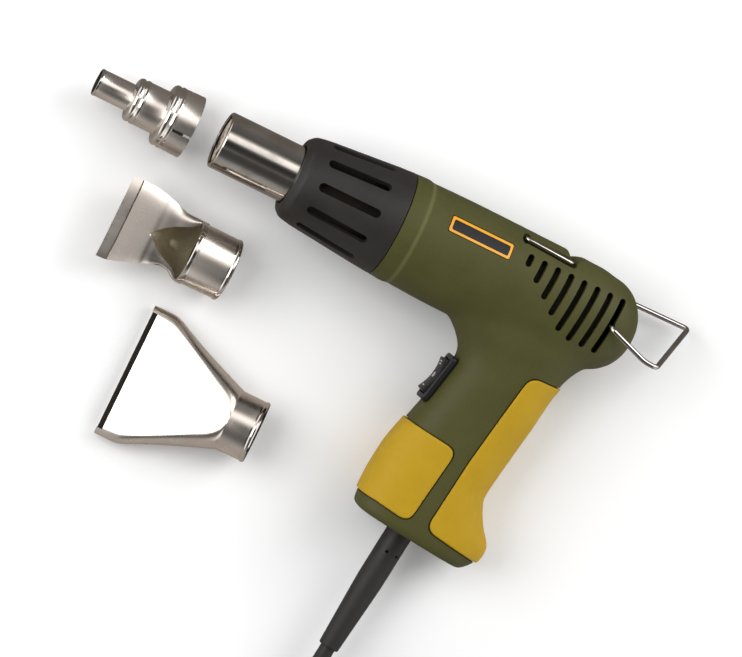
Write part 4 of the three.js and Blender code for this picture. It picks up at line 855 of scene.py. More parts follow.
def lofted(sections):
    """Rings of points one after another, joined into a closed skin with flat ends."""
    bm = bmesh.new()
    order = bm.verts.layers.int.new("order")
    ring = bmesh.ops.create_circle(bm, segments=len(sections[0]), radius=1)["verts"]
    for k, vert in enumerate(ring):
        vert[order] = k
    edges = bm.edges[:]
    for section in sections:
        if section is not sections[0]:
            grown = bmesh.ops.extrude_edge_only(bm, edges=edges)["geom"]
            ring = only(bmesh.types.BMVert, grown)
            edges = [edge for edge in only(bmesh.types.BMEdge, grown) if set(edge.verts) <= set(ring)]
        for vert in ring:
            vert.co = section[vert[order]]
    bmesh.ops.holes_fill(bm, edges=bm.edges, sides=0)
    bmesh.ops.recalc_face_normals(bm, faces=bm.faces)
    return bm


def barrel(grow, count=96, steps=4, dome_steps=14):
    """The barrel with its rounded rear end, grown outwards."""
    def section(x, top, bottom, side, square, share):
        high, low, wide = (BARREL_RADIUS - inset + grow for inset in (top, bottom, side))
        return oval(count, square, lambda across, out: Vector((
            x, share * ((high - low) / 2 + (high + low) / 2 * across), share * wide * out,
        )))

    rings = [section(*between(BARREL, k / steps), 1) for k in range((len(BARREL) - 1) * steps + 1)]
    start, *sizes = BARREL[-1]
    for k in range(1, dome_steps + 1):
        turn = DOME_SHARE * math.pi / 2 * k / dome_steps
        rings.append(section(start + (REAR_END + grow - start) * math.sin(turn), *sizes, math.cos(turn)))
    return lofted(rings)


def handle(grow, count=80, steps=5):
    """The pistol handle, grown outwards."""
    rings = []
    for k in range((len(HANDLE) - 1) * steps + 1):
        front_x, front_y, rear_x, rear_y, extra, square = between(HANDLE, k / steps)
        front = Vector((front_x, front_y, 0))
        rear = Vector((rear_x, rear_y, 0))
        middle = (front + rear) / 2
        way = (rear - front).normalized() * ((rear - front).length / 2 + grow)
        thick = Vector((0, 0, HANDLE_HALF + extra + grow))
        rings.append(oval(count, square, lambda across, out: middle + way * across + thick * out))
    return lofted(rings)


def block(low, high):
    bm = bmesh.new()
    size = Vector(high) - Vector(low)
    middle = (Vector(high) + Vector(low)) / 2
    bmesh.ops.create_cube(bm, size=1, matrix=Matrix.Translation(middle) @ Matrix.Diagonal((*size, 1)))
    return bm


def cross_bar(place, low, high, radius):
    """A round bar across the tool at a place in the side view."""
    return rod(radius, high - low, Matrix.Translation((*place, (low + high) / 2)))


def outwards(side, depth):
    """From a depth in the tool to well outside it on one side."""
    return sorted((side * depth, side * FAR))


def remeshed(bm, voxel, rounds):
    """A body with an even skin, its edges and inner corners eased by smoothing."""
    thing = linked("scratch", mesh_of(bm, "scratch"))
    even = thing.modifiers.new("even", "REMESH")
    even.mode = "VOXEL"
    even.voxel_size = voxel
    soften = thing.modifiers.new("soften", "SMOOTH")
    soften.factor = 0.5
    soften.iterations = rounds
    result = settled(thing)
    bpy.data.meshes.remove(thing.data)
    return result


def cut_off(bm, place, way):
    """A closed body cut flat at a place, without what lies behind it."""
    bmesh.ops.bisect_plane(
        bm, geom=bm.verts[:] + bm.edges[:] + bm.faces[:], dist=1e-7, plane_co=place, plane_no=way,
        clear_inner=True,
    )
    bmesh.ops.holes_fill(bm, edges=bm.edges, sides=0)
    bmesh.ops.recalc_face_normals(bm, faces=bm.faces)
    return bm


def grown_outline(corners, grow):
    """The corners of an outline moved outwards."""
    moved = []
    for k, (x, y, radius) in enumerate(corners):
        corner = Vector((x, y))
        before = (corner - Vector(corners[k - 1][:2])).normalized()
        after = (Vector(corners[(k + 1) % len(corners)][:2]) - corner).normalized()
        out = Vector((before.y, -before.x)) + Vector((after.y, -after.x))
        corner = corner + out * (2 * grow / out.length_squared)
        moved.append((corner.x, corner.y, radius))
    return moved


olive_shell = moulded_finish(
    "olive_shell", (66, 65, 29), (72, 71, 33), 2400.0, gloss=0.46, matt=0.6, bump=0.26, specular=0.24,
)
# A painted highlight: a paler line along the edge of the collar behind the guard.
tree = olive_shell.node_tree
past = maths(tree, "SUBTRACT", place_along(olive_shell), TABLE_FRAME.translation.x + COLLAR_EDGE)
collar_highlight = ranged(tree, maths(tree, "ABSOLUTE", past), *COLLAR_HIGHLIGHT, 0.6, 0.0)
covered(olive_shell, "Base Color", collar_highlight, srgb(104, 102, 60))

skin = remeshed(together(barrel(0), handle(0)), SKIN_VOXEL, 8)
for low, high, rounds in BLENDS:
    blend = [vert for vert in skin.verts if low < vert.co.y < high and abs(vert.co.z) > BLEND_OUT]
    for _ in range(rounds):
        bmesh.ops.smooth_vert(
            skin, verts=blend, factor=0.5, use_axis_x=True, use_axis_y=True, use_axis_z=True,
        )
cut_off(skin, (HOUSING_FRONT, 0, 0), (1, 0, 0))
front_rim = [
    edge for edge in rim(skin, 60)
    if all(abs(vert.co.x - HOUSING_FRONT) < 1e-5 for vert in edge.verts)
]
rounded(skin, front_rim, FRONT_EDGE, 3)

roof = block((HANG_PIVOT.x - 0.004, ROOF, -FAR), (HANG_BAR.x + NOTCH_REAR, FAR, FAR))
base_front, base_rear = Vector(HANDLE[-1][:2]), Vector(HANDLE[-1][2:4])
base_way = base_rear - base_front
floor_slab = block((-FAR, -FAR, -FAR), (FAR, BASE_FLOOR, FAR))
rolled(floor_slab, math.atan2(base_way.y, base_way.x), "Z")
bmesh.ops.translate(floor_slab, verts=floor_slab.verts, vec=(*base_front, 0))
hollow = carved(barrel(-WALL, 40, 2, 8), carved(handle(-WALL, 36, 2), floor_slab), "UNION")
hollow = carved(hollow, roof)
bore_front, bore_rear, bore_radius = HOUSING_FRONT - 0.002, HOUSING_FRONT + FRONT_BORE, BARREL_RADIUS - WALL
front_bore = turned([
    (bore_front, 0), (bore_front, bore_radius), (bore_rear, bore_radius), (bore_rear, 0),
], 96)

SWITCH_FRAME = Matrix.Translation(SWITCH_AT) @ Matrix.Rotation(SWITCH_TURN, 4, "Z")
switch_rooms = []
for size, low, high in ((BEZEL, -GAP, 0.05), (SWITCH_BODY, -SWITCH_BODY.y, 0.001)):
    wide, deep = size.x / 2 + GAP, size.z / 2 + GAP
    switch_rooms.append(block((-wide, low, -deep), (wide, high, deep)))
    bmesh.ops.transform(switch_rooms[-1], matrix=SWITCH_FRAME, verts=switch_rooms[-1].verts)

EXIT_FRAME = Matrix.Translation(EXIT_PLACE) @ Matrix.Rotation(EXIT_TURN, 4, "Z")
exit_radius = SLEEVE_RADIUS + GAP
exit_hole = turned([
    (-SLEEVE_HOLE, 0), (-SLEEVE_HOLE, exit_radius), (SLEEVE_HOLE, exit_radius), (SLEEVE_HOLE, 0),
], 48)
bmesh.ops.transform(exit_hole, matrix=EXIT_FRAME, verts=exit_hole.verts)

notch_left, notch_right = HANG_BAR.x - BAIL_WIRE - NOTCH_GAP, HANG_BAR.x + BAIL_WIRE + NOTCH_GAP
notch_rear = HANG_BAR.x + NOTCH_REAR
notch = slab([
    (notch_left - NOTCH_FLARE, 0.03), (notch_left - NOTCH_FLARE, 0.0224),
    *rounded_end((notch_left - NOTCH_FLARE, 0.0224), (notch_left - 0.0005, 0.0206), (notch_left, 0.0182)),
    *rounded_end((notch_left, NOTCH_FLOOR + 0.0008), (notch_left, NOTCH_FLOOR), (HANG_BAR.x, NOTCH_FLOOR)),
    *rounded_end((HANG_BAR.x, NOTCH_FLOOR), (notch_right, NOTCH_FLOOR), (notch_right, NOTCH_FLOOR + 0.0008)),
    *rounded_end((notch_right, 0.0184), (notch_right + 0.0006, 0.0204), (notch_rear, 0.0219)),
    (notch_rear, 0.03),
], -FAR, FAR)
pad_rooms = [slab(softened(grown_outline(grip, GRIP_GAP)), -FAR, FAR) for grip in (FRONT_GRIP, REAR_GRIP)]
pad_pockets = carved(together(*pad_rooms), handle(-GRIP_POCKET))
label_corners = [
    (LABEL_LOW.x, LABEL_LOW.y, LABEL_ROUND), (LABEL_HIGH.x, LABEL_LOW.y, LABEL_ROUND),
    (LABEL_HIGH.x, LABEL_HIGH.y, LABEL_ROUND), (LABEL_LOW.x, LABEL_HIGH.y, LABEL_ROUND),
]
label_room = slab(softened(grown_outline(label_corners, GAP)), LABEL_INSIDE, FAR)
groove_floor = HANG_SPREAD - BAIL_WIRE - 0.0004
hinge_way = (STAND_NEAR - STAND_FAR).normalized()

for side, name in SIDES:
    vents = []
    for k in range(VENTS):
        top_end = VENT_TOP + Vector((k * VENT_PITCH, 0))
        low_end = max(VENT_LOWEST, VENT_FIRST - k * VENT_STEP)
        lean = (VENT_TOP.y - low_end) * VENT_SLANT
        vents.append(pill(top_end, (top_end.x - lean, low_end), VENT_WIDTH, *outwards(side, VENT_INSIDE)))
    groove = pill(HANG_PIVOT, HANG_BAR, 2 * BAIL_WIRE + GROOVE_GAP, *outwards(side, groove_floor))
    hang_hole = cross_bar(HANG_PIVOT, *outwards(side, groove_floor - 0.0022), HANG_HOLE)
    hinge = Matrix.Translation(STAND_NEAR if side > 0 else STAND_FAR)
    hinge_turn = (hinge_way * side).to_track_quat("Z", "Y").to_matrix().to_4x4()
    stand_hole = rod(STAND_WIRE + GAP, STAND_BORE, hinge @ hinge_turn, 24)
    if side > 0:
        own_room = carved(label_room, barrel(-LABEL_POCKET))
    else:
        own_room = together(*(cross_bar(place, -FAR, SCREW_FLOOR, SCREW_HOLE) for place in SCREWS))
    half = cut_off(skin.copy(), (0, 0, side * PARTING), (0, 0, side))
    for cutter in (
        hollow, front_bore, *switch_rooms, exit_hole, notch, pad_pockets, together(*vents), groove, hang_hole,
        stand_hole, own_room,
    ):
        half = carved(half, cutter)
    finished(half, f"half_shell_{name}", "tool", "olive_shell", olive_shell, f"housing_{name}", sharp=38)


# Dust foam: a strip of dark open foam behind the air slots of each half shell, pressed in by hand. It
# is painted shade: it shows only as the dark in the slots.
FOAM_THICK = 0.002
FOAM_LOW, FOAM_HIGH = Vector((0.1245, -0.0135)), Vector((0.1730, 0.0160))
FOAM_INSIDE = 0.004
# Near black, as painted shade inside the slots.
vent_shade_finish = moulded_finish(
    "vent_shade_foam", (36, 35, 28), (22, 22, 18), 1500.0, gloss=0.85, matt=0.95, bump=0.6, specular=0.05,
)
foam_skin = carved(barrel(-WALL - GAP), barrel(-WALL - GAP - FOAM_THICK))
for side, name in SIDES:
    near, far = outwards(side, FOAM_INSIDE)
    foam = carved(foam_skin, block((*FOAM_LOW, near), (*FOAM_HIGH, far)), "INTERSECT")
    finished(foam, f"vent_shade_foam_{name}", "tool", "black_rubber", vent_shade_finish)


# Grips: four soft pads of ochre rubber let into pockets of the half shells, standing a little
# proud with rounded borders.
GRIP_PROUD = 0.0008
GRIP_VOXEL = 0.00042
ochre_grip = moulded_finish(
    "ochre_grip", (181, 146, 23), (172, 137, 20), 2000.0, gloss=0.5, matt=0.66, bump=0.3, specular=0.22,
)
pad_skin = carved(handle(GRIP_PROUD, 120, 8), handle(GAP - GRIP_POCKET))
for place, corners in (("front", FRONT_GRIP), ("rear", REAR_GRIP)):
    pad_ring = carved(pad_skin, slab(softened(corners, 8), -FAR, FAR), "INTERSECT")
    for side, name in SIDES:
        pad = remeshed(cut_off(pad_ring.copy(), (0, 0, side * PARTING), (0, 0, side)), GRIP_VOXEL, 6)
        finished(
            pad, f"{place}_pad_{name}", "tool", "ochre_grip", ochre_grip, f"{place}_grip_{name}", sharp=180,
        )


# Name plate: a thin printed plate glued in a shallow recess. It is left bare, with only its orange
# border round a black field.
LABEL_PROUD = 0.00035
LABEL_BORDER = 0.0010
FIELD_SUNK = 0.00012
plate_orange = moulded_finish(
    "plate_orange", (232, 166, 44), (220, 152, 36), 1500.0, gloss=0.25, matt=0.34, bump=0.02,
)
plate_black = moulded_finish(
    "plate_black", (30, 29, 29), (36, 35, 34), 1500.0, gloss=0.36, matt=0.46, bump=0.02, specular=0.2,
)
plate_slab = slab(softened(label_corners), LABEL_INSIDE, FAR)
field_slab = slab(softened(grown_outline(label_corners, -LABEL_BORDER)), LABEL_INSIDE, FAR)
plate_seat = barrel(GAP - LABEL_POCKET)
plate = carved(carved(barrel(LABEL_PROUD, 192, 8), plate_seat), plate_slab, "INTERSECT")
finished(carved(plate, field_slab), "plate_border", "tool", "label", plate_orange, "label_plate", sharp=40)
field = carved(carved(barrel(LABEL_PROUD - FIELD_SUNK, 192, 8), plate_seat), field_slab, "INTERSECT")
finished(field, "plate_field", "tool", "label", plate_black, sharp=40)


# Housing screws: five zinc-plated steel screws with pan heads and a cross recess, sunk in counterbores
# on the right side. They pull the half shells together.
SCREW_HEAD = 0.0021
SCREW_HIGH = 0.0018
SCREW_SHANK = 0.0011
SCREW_LENGTH = 0.008
SCREW_SEAT = -0.0053
RECESS_LONG = 0.0014
RECESS_WIDE = 0.0003
for number, place in enumerate(SCREWS, 1):
    screw = turned(softened([
        (SCREW_SEAT - SCREW_HIGH, 0, 0), (SCREW_SEAT - SCREW_HIGH, SCREW_HEAD, 0.0008),
        (SCREW_SEAT, SCREW_HEAD, 0.0002), (SCREW_SEAT, SCREW_SHANK, 0), (SCREW_LENGTH, SCREW_SHANK, 0.0006),
        (SCREW_LENGTH, 0, 0),
    ], 4), 40)
    for turn in (0, math.pi / 2):
        recess = block(
            (SCREW_SEAT - 0.003, -RECESS_LONG, -RECESS_WIDE), (SCREW_SEAT - 0.0009, RECESS_LONG, RECESS_WIDE),
        )
        screw = carved(screw, rolled(recess, turn, "X"))
    finished(
        screw, f"shell_screw_{number}", "tool", "zinc_steel", dull_zinc, f"housing_screw_{number}",
        place=TOOL_FRAME @ Matrix.Translation((*place, 0)) @ Matrix.Rotation(-math.pi / 2, 4, "Y"),
    )


# Switch: a snap-in three-position rocker in the front of the handle, black frame and body with a
# hollowed rocker on two pins, blade terminals behind it.
BEZEL_CORNER = 0.0016
BEZEL_EDGE = 0.0006
ROCKER_RADIUS = 0.0085
ROCKER_HALF = 0.0054
ROCKER_TOP = 0.0045
ROCKER_DISH = 0.0015
ROCKER_PIVOT = 0.0009
ROCKER_BELOW = 0.0022
ROCKER_ROOM = 0.0025
ROCKER_EDGE = 0.0003
ROCKER_PIN = 0.0008
PIN_REACH = 0.001
WINDOW_HALF, WINDOW_DEEP = ROCKER_RADIUS + 0.00045, ROCKER_HALF + GAP
switch_place = TOOL_FRAME @ SWITCH_FRAME
switch_black = moulded_finish(
    "switch_black", (27, 27, 28), (34, 34, 35), 2600.0, gloss=0.3, matt=0.42, bump=0.05, specular=0.25,
)
bezel = block((-BEZEL.x / 2, 0, -BEZEL.z / 2), (BEZEL.x / 2, BEZEL.y, BEZEL.z / 2))
bezel_corners = [edge for edge in bezel.edges if abs(edge.verts[0].co.y - edge.verts[1].co.y) > 0.001]
rounded(bezel, bezel_corners, BEZEL_CORNER, 5)
rounded(bezel, rim(bezel, 50), BEZEL_EDGE, 3, True)
bezel = carved(bezel, block(
    (-SWITCH_BODY.x / 2, -SWITCH_BODY.y, -SWITCH_BODY.z / 2), (SWITCH_BODY.x / 2, 0.0005, SWITCH_BODY.z / 2),
), "UNION")
bezel = carved(bezel, block(
    (-WINDOW_HALF, -ROCKER_BELOW - ROCKER_ROOM, -WINDOW_DEEP), (WINDOW_HALF, 0.01, WINDOW_DEEP),
))
pin_end = WINDOW_DEEP + PIN_REACH
bezel = carved(bezel, cross_bar((0, ROCKER_PIVOT), -pin_end - GAP, pin_end + GAP, ROCKER_PIN + GAP))
finished(bezel, "switch_frame", "tool", "black_plastic", switch_black, "switch_body", place=switch_place)
dress(pin_brass, "switch_terminal_1", "switch_terminal_2", "switch_terminal_3")

corner_x = math.sqrt(ROCKER_RADIUS ** 2 - (ROCKER_TOP - ROCKER_PIVOT) ** 2)
corner_turn = math.atan2(ROCKER_TOP - ROCKER_PIVOT, corner_x)
foot_turn = math.asin((ROCKER_PIVOT + ROCKER_BELOW) / ROCKER_RADIUS)


def rocker_top(x):
    return ROCKER_TOP - ROCKER_DISH * (1 - (x / corner_x) ** 2)


rocker_end = []
for k in range(9):
    turn = blend_of(-foot_turn, corner_turn, k / 8)
    rocker_end.append((ROCKER_RADIUS * math.cos(turn), ROCKER_PIVOT + ROCKER_RADIUS * math.sin(turn)))
dish = [blend_of(corner_x, -corner_x, k / 16) for k in range(1, 16)]
rocker_outline = rocker_end + [(x, rocker_top(x)) for x in dish] + [(-x, y) for x, y in reversed(rocker_end)]
rocker = slab(rocker_outline, -ROCKER_HALF, ROCKER_HALF)
rounded(rocker, rim(rocker, 40), ROCKER_EDGE, 2, True)
rocker = carved(rocker, cross_bar((0, ROCKER_PIVOT), -pin_end, pin_end, ROCKER_PIN), "UNION")
finished(rocker, "rocker", "rocker", "black_plastic", switch_black, "switch_rocker", place=switch_place)

# Its marks: a ring for off in the middle, one bar and two bars for the two heats at the ends.
MARK_DEEP = 0.00025
MARK_WIDE = 0.0005
MARK_LONG = 0.0024
MARK_BARS = (-0.0058, 0.0052, 0.0064)
OFF_INNER, OFF_OUTER = 0.0008, 0.0012
mark_white = moulded_finish(
    "mark_white", (205, 205, 200), (185, 185, 180), 1500.0, gloss=0.4, matt=0.6,
)
ring_low, ring_high = rocker_top(0) - MARK_DEEP, rocker_top(0) + MARK_DEEP
off_ring = turned(
    [(ring_low, OFF_INNER), (ring_low, OFF_OUTER), (ring_high, OFF_OUTER), (ring_high, OFF_INNER)], 32,
)
marks = [rolled(off_ring, math.pi / 2, "Z")]
for x in MARK_BARS:
    low = rocker_top(x) - MARK_DEEP
    marks.append(block(
        (x - MARK_WIDE / 2, low, -MARK_LONG / 2), (x + MARK_WIDE / 2, low + 2 * MARK_DEEP, MARK_LONG / 2),
    ))
finished(together(*marks), "rocker_marks", "rocker", "black_plastic", mark_white, place=switch_place)


# Bails: spring steel wire, bent cold, each turning on two pins in the half shells. The small one
# lies in its groove on top, the larger one is folded out at the rear.
HANG_PIN = 0.006
BAIL_BEND = 0.0022
STAND_PIN = 0.007
STAND_ELBOW = (0.1952, -0.0048, STAND_NEAR.z)
STAND_NEAR_CORNER = (0.2009, -0.0050, STAND_NEAR.z)
STAND_FAR_CORNER = (0.2144, 0.0141, STAND_FAR.z)
bail_steel = metal_finish("bail_steel", (188, 182, 176), (140, 132, 124), 0.08, 0.18, bump=0.01)


def bent_wire(corners, radius):
    """A wire through corners, each bent in a short curve, as a closed tube."""
    points = [Vector(corners[0])]
    for before, corner, after in zip(corners, corners[1:], corners[2:]):
        corner = Vector(corner)
        back = Vector(before) - corner
        on = Vector(after) - corner
        start = corner + back.normalized() * min(BAIL_BEND, back.length * 0.48)
        points += rounded_end(start, corner, corner + on.normalized() * min(BAIL_BEND, on.length * 0.48), 8)
    points.append(Vector(corners[-1]))
    return wire_tube(points, radius)


hang_wire = bent_wire([
    (*HANG_PIVOT, HANG_PIN), (*HANG_PIVOT, HANG_SPREAD), (*HANG_BAR, HANG_SPREAD),
    (*HANG_BAR, -HANG_SPREAD), (*HANG_PIVOT, -HANG_SPREAD), (*HANG_PIVOT, -HANG_PIN),
], BAIL_WIRE)
finished(hang_wire, "hanging_wire", "hang_wire", "polished_steel", bail_steel, "hanging_bail")
stand_wire = bent_wire([
    STAND_NEAR - hinge_way * STAND_PIN, STAND_NEAR, STAND_ELBOW, STAND_NEAR_CORNER, STAND_FAR_CORNER,
    STAND_FAR, STAND_FAR + hinge_way * STAND_PIN,
], STAND_WIRE)
finished(stand_wire, "standing_wire", "stand_wire", "polished_steel", bail_steel, "stand_bail")


# Sleeve: a tapered rubber boot that keeps the lead from kinking where it leaves the handle. Its
# flange is held inside the base.
SLEEVE_TIP = 0.0044
SLEEVE_FLANGE = 0.008
FLANGE_FRONT, FLANGE_REAR = -0.0037, -0.0067
TAPER_START = 0.024
DIMPLE_ALONG = 0.0093
DIMPLES_ACROSS = (-0.0014, 0.0034)
DIMPLE_RADIUS = 0.0007
DIMPLE_FLOOR = 0.0035
sleeve = turned(softened([
    (FLANGE_REAR, 0, 0), (FLANGE_REAR, SLEEVE_FLANGE, 0.0004), (FLANGE_FRONT, SLEEVE_FLANGE, 0.0004),
    (FLANGE_FRONT, SLEEVE_RADIUS, 0), (TAPER_START, SLEEVE_RADIUS, 0.004),
    (SLEEVE_LENGTH, SLEEVE_TIP, 0.0008), (SLEEVE_LENGTH, 0, 0),
], 6), 64)
dimples = [cross_bar((DIMPLE_ALONG, across), DIMPLE_FLOOR, 0.02, DIMPLE_RADIUS) for across in DIMPLES_ACROSS]
finished(
    carved(sleeve, together(*dimples)), "lead_sleeve", "tool", "black_rubber", black_rubber, "strain_relief",
    place=TOOL_FRAME @ EXIT_FRAME,
)


# Reducer nozzle: deep-drawn steel in three steps with a rolled bead at each step, satin between the
# beads, and a slit in the base that lets it spring on the tube. It lies level on its base.
NOZZLE_WALL = 0.0008
NOZZLE_BORE = 0.0127
NOZZLE_RADIUS = 0.0135
NOZZLE_SKIN = 0.0132
NOZZLE_BASE = 0.0175
TIP_RADIUS = 0.00585
MIDDLE_RADIUS = 0.0095
TIP_LENGTH = 0.0148
MIDDLE_LENGTH = 0.0142
REDUCER_BASE = 0.014
REDUCER_AT = (-0.0544, -0.0008, NOZZLE_RADIUS)
SHOULDER = 0.0022
SHOULDER_INSIDE = 0.0015
SLIT_LENGTH = 0.0084
SLIT_WIDTH = 0.0013
SLIT_TURN = math.radians(20)
TIP_BEAD = 0.0015
RIM_BEAD = 0.0019
STEP_BEAD = 0.0058
STEP_ROUND = 0.0018
QUARTER = [math.pi / 2 * k / 8 for k in range(9)]
nozzle_steel = metal_finish("nozzle_steel", (222, 212, 202), (198, 187, 176), 0.25, 0.33, bump=0.012)
bead_steel = metal_finish("bead_steel", (214, 207, 200), (176, 166, 156), 0.05, 0.12, bump=0.01)
# Near black inside the nozzles: soot, and painted shade in their bores.
inner_soot_and_shade = moulded_finish(
    "inner_soot_and_shade", (30, 27, 24), (44, 39, 34), 900.0, gloss=0.5, matt=0.7, specular=0.2,
)
NOZZLE_FINISHES = (bead_steel, inner_soot_and_shade)


def step_curve(x, start, end):
    """The inside of a drawn step, from the rear to the front."""
    return [
        (x + SHOULDER * (1 - math.cos(turn)), start + (end - start) * math.sin(turn))
        for turn in reversed(QUARTER)
    ]


def beaded_step(x, start, end, bead):
    """The outside of a drawn step: a short hollow, a round shoulder, a groove and a low bead behind it."""
    shoulder = x + 0.0006 + STEP_ROUND
    low = bead - STEP_ROUND
    return [
        (x, start), (x + 0.0004, start + 0.0002), (x + 0.0006, start + 0.0007),
        *((shoulder - STEP_ROUND * math.cos(turn), low + STEP_ROUND * math.sin(turn)) for turn in QUARTER),
        (x + 0.0029, bead - 0.0001), (x + 0.0032, end - 0.0002), (x + 0.0035, end - 0.0003),
        (x + 0.0038, end - 0.0002), (x + 0.0042, end + 0.0001), (x + 0.0047, end + 0.0002),
        (x + 0.0052, end + 0.0001), (x + 0.0056, end),
    ]


def rear_bead(x, radius, skin):
    """A bead round the rear rim, ending at x."""
    return [
        (x - RIM_BEAD - 0.0006, skin), (x - RIM_BEAD, skin - 0.0001), (x - 0.0016, radius - 0.00015),
        (x - 0.0010, radius), (x - 0.0004, radius - 0.00012), (x, radius - 0.0005), (x - 0.0003, NOZZLE_BORE),
    ]


def parted(bm, bands=()):
    """Polished finish on the bands along x, soot and painted shade on the faces that look inwards."""
    for face in bm.faces:
        middle = face.calc_center_median()
        if face.normal.dot(Vector((0, middle.y, middle.z))) < -0.001:
            face.material_index = 2
        elif any(low < middle.x < high for low, high in bands):
            face.material_index = 1


base_start = TIP_LENGTH + MIDDLE_LENGTH
reducer_end = base_start + REDUCER_BASE
tip_skin, middle_skin, base_skin = TIP_RADIUS - 0.0001, MIDDLE_RADIUS - 0.0001, NOZZLE_RADIUS - 0.0002
tip_bore, middle_bore = TIP_RADIUS - NOZZLE_WALL, MIDDLE_RADIUS - NOZZLE_WALL
reducer = turned([
    (0.0004, TIP_RADIUS - 0.0006), (0, TIP_RADIUS - 0.0003), (0.0002, TIP_RADIUS),
    (0.0006, TIP_RADIUS + 0.0001), (0.0011, TIP_RADIUS), (TIP_BEAD, tip_skin),
    *beaded_step(TIP_LENGTH, tip_skin, middle_skin, MIDDLE_RADIUS),
    *beaded_step(base_start, middle_skin, base_skin, base_skin),
    (reducer_end - 0.0003, NOZZLE_RADIUS), (reducer_end - 0.0001, NOZZLE_RADIUS),
    (reducer_end, NOZZLE_RADIUS - 0.0001), (reducer_end, NOZZLE_BORE + 0.0001),
    (reducer_end - 0.0002, NOZZLE_BORE),
    *step_curve(base_start + SHOULDER_INSIDE, middle_bore, NOZZLE_BORE),
    *step_curve(TIP_LENGTH + SHOULDER_INSIDE, tip_bore, middle_bore),
], 128)
slit = block((reducer_end - SLIT_LENGTH, -SLIT_WIDTH / 2, 0), (reducer_end + 0.01, SLIT_WIDTH / 2, 0.03))
reducer = carved(reducer, rolled(slit, SLIT_TURN, "X"))
parted(reducer, [
    (-0.001, TIP_BEAD), (TIP_LENGTH, TIP_LENGTH + STEP_BEAD), (base_start, base_start + STEP_BEAD),
])
finished(
    reducer, "stepped_nozzle", "reducer", "polished_steel", nozzle_steel, "reducer_nozzle",
    place=TABLE_FRAME @ Matrix.Translation(REDUCER_AT), also=NOZZLE_FINISHES,
)


# Reflector nozzle: a pressed scoop of satin steel with a folded lip and a leaf-shaped hollow, soldered
# to a plain base ring. It bends the hot air back round a wire or a tube.
REFLECTOR_AT = (0.0109, -0.0466, 0)
SCOOP = [
    # distance from the base, width above and below the axis, half width of the hollow, its floor, the panel
    (-0.0020, 0.0129, 0.0129, 0.0126, 0.0004, 0.0135), (0.0016, 0.0130, 0.0126, 0.0122, 0.0004, 0.0136),
    (0.0050, 0.0131, 0.0104, 0.0098, 0.0010, 0.0136), (0.0085, 0.0134, 0.0098, 0.0082, 0.0026, 0.0134),
    (0.0110, 0.0142, 0.0104, 0.0070, 0.0056, 0.0132), (0.0140, 0.0154, 0.0114, 0.0050, 0.0098, 0.0132),
    (0.0165, 0.0161, 0.0125, 0.0028, 0.0124, 0.0135), (0.0190, 0.0168, 0.0136, 0.0006, 0.0138, 0.0138),
    (0.0250, 0.0177, 0.0158, 0.0008, 0.0152, 0.0152), (0.0302, 0.0178, 0.0174, 0.0012, 0.0166, 0.0166),
    (0.0310, 0.0178, 0.0176, 0.0012, 0.0167, 0.0167), (0.0350, 0.0176, 0.0178, 0.0012, 0.0163, 0.0163),
]
SCOOP_ALONG, SCOOP_ACROSS = 80, 48
SCOOP_EDGE = 0.0012
HOLLOW_SHARE = 0.5
HOLLOW_END = 0.27
heat_brown = metal_finish(
    "heat_brown", (158, 145, 117), (122, 109, 84), 0.26, 0.42, bump=0.02, metallic=0.45,
)
scoop = bmesh.new()
bmesh.ops.create_grid(scoop, x_segments=SCOOP_ALONG, y_segments=SCOOP_ACROSS, size=1)
for face in scoop.faces:
    middle = face.calc_center_median()
    if abs(middle.y) < HOLLOW_SHARE and middle.x < HOLLOW_END:
        face.material_index = 3
for vert in scoop.verts:
    along, above, below, leaf, low, panel = between(SCOOP, (vert.co.x + 1) / 2 * (len(SCOOP) - 1))
    share = abs(vert.co.y)
    wide = above if vert.co.y > 0 else below
    leaf = min(leaf, wide - 0.0003)
    if share <= HOLLOW_SHARE:
        inner = share / HOLLOW_SHARE
        vert.co.z = panel - max(0, panel - low) * (1 - inner * inner) ** 0.7
        out = leaf * inner
    else:
        outer = (share - HOLLOW_SHARE) / (1 - HOLLOW_SHARE)
        vert.co.z = panel - SCOOP_EDGE * outer ** 4
        out = blend_of(leaf, wide, outer)
    vert.co.x, vert.co.y = -along, math.copysign(out, vert.co.y)
bmesh.ops.recalc_face_normals(scoop, faces=scoop.faces)
if sum(face.normal.z for face in scoop.faces) < 0:
    bmesh.ops.reverse_faces(scoop, faces=scoop.faces)
bmesh.ops.solidify(scoop, geom=scoop.faces[:], thickness=-NOZZLE_WALL)
bmesh.ops.recalc_face_normals(scoop, faces=scoop.faces)
scoop_base = turned([
    (-0.0009, NOZZLE_BORE), (-0.0012, NOZZLE_RADIUS - 0.0005), (-0.0008, NOZZLE_RADIUS - 0.0001),
    (-0.0002, NOZZLE_RADIUS), (0.0006, NOZZLE_RADIUS - 0.0001), (0.0012, NOZZLE_SKIN),
    *rear_bead(NOZZLE_BASE, NOZZLE_RADIUS, NOZZLE_SKIN),
], 128)
parted(scoop_base, [(-0.01, 0.0012), (NOZZLE_BASE - RIM_BEAD - 0.0005, 1)])
bmesh.ops.translate(scoop_base, verts=scoop_base.verts, vec=(0, 0, NOZZLE_RADIUS))
finished(
    together(scoop, scoop_base), "scoop_nozzle", "reflector", "polished_steel", nozzle_steel,
    "reflector_nozzle", place=TABLE_FRAME @ Matrix.Translation(REFLECTOR_AT),
    also=(*NOZZLE_FINISHES, heat_brown),
)


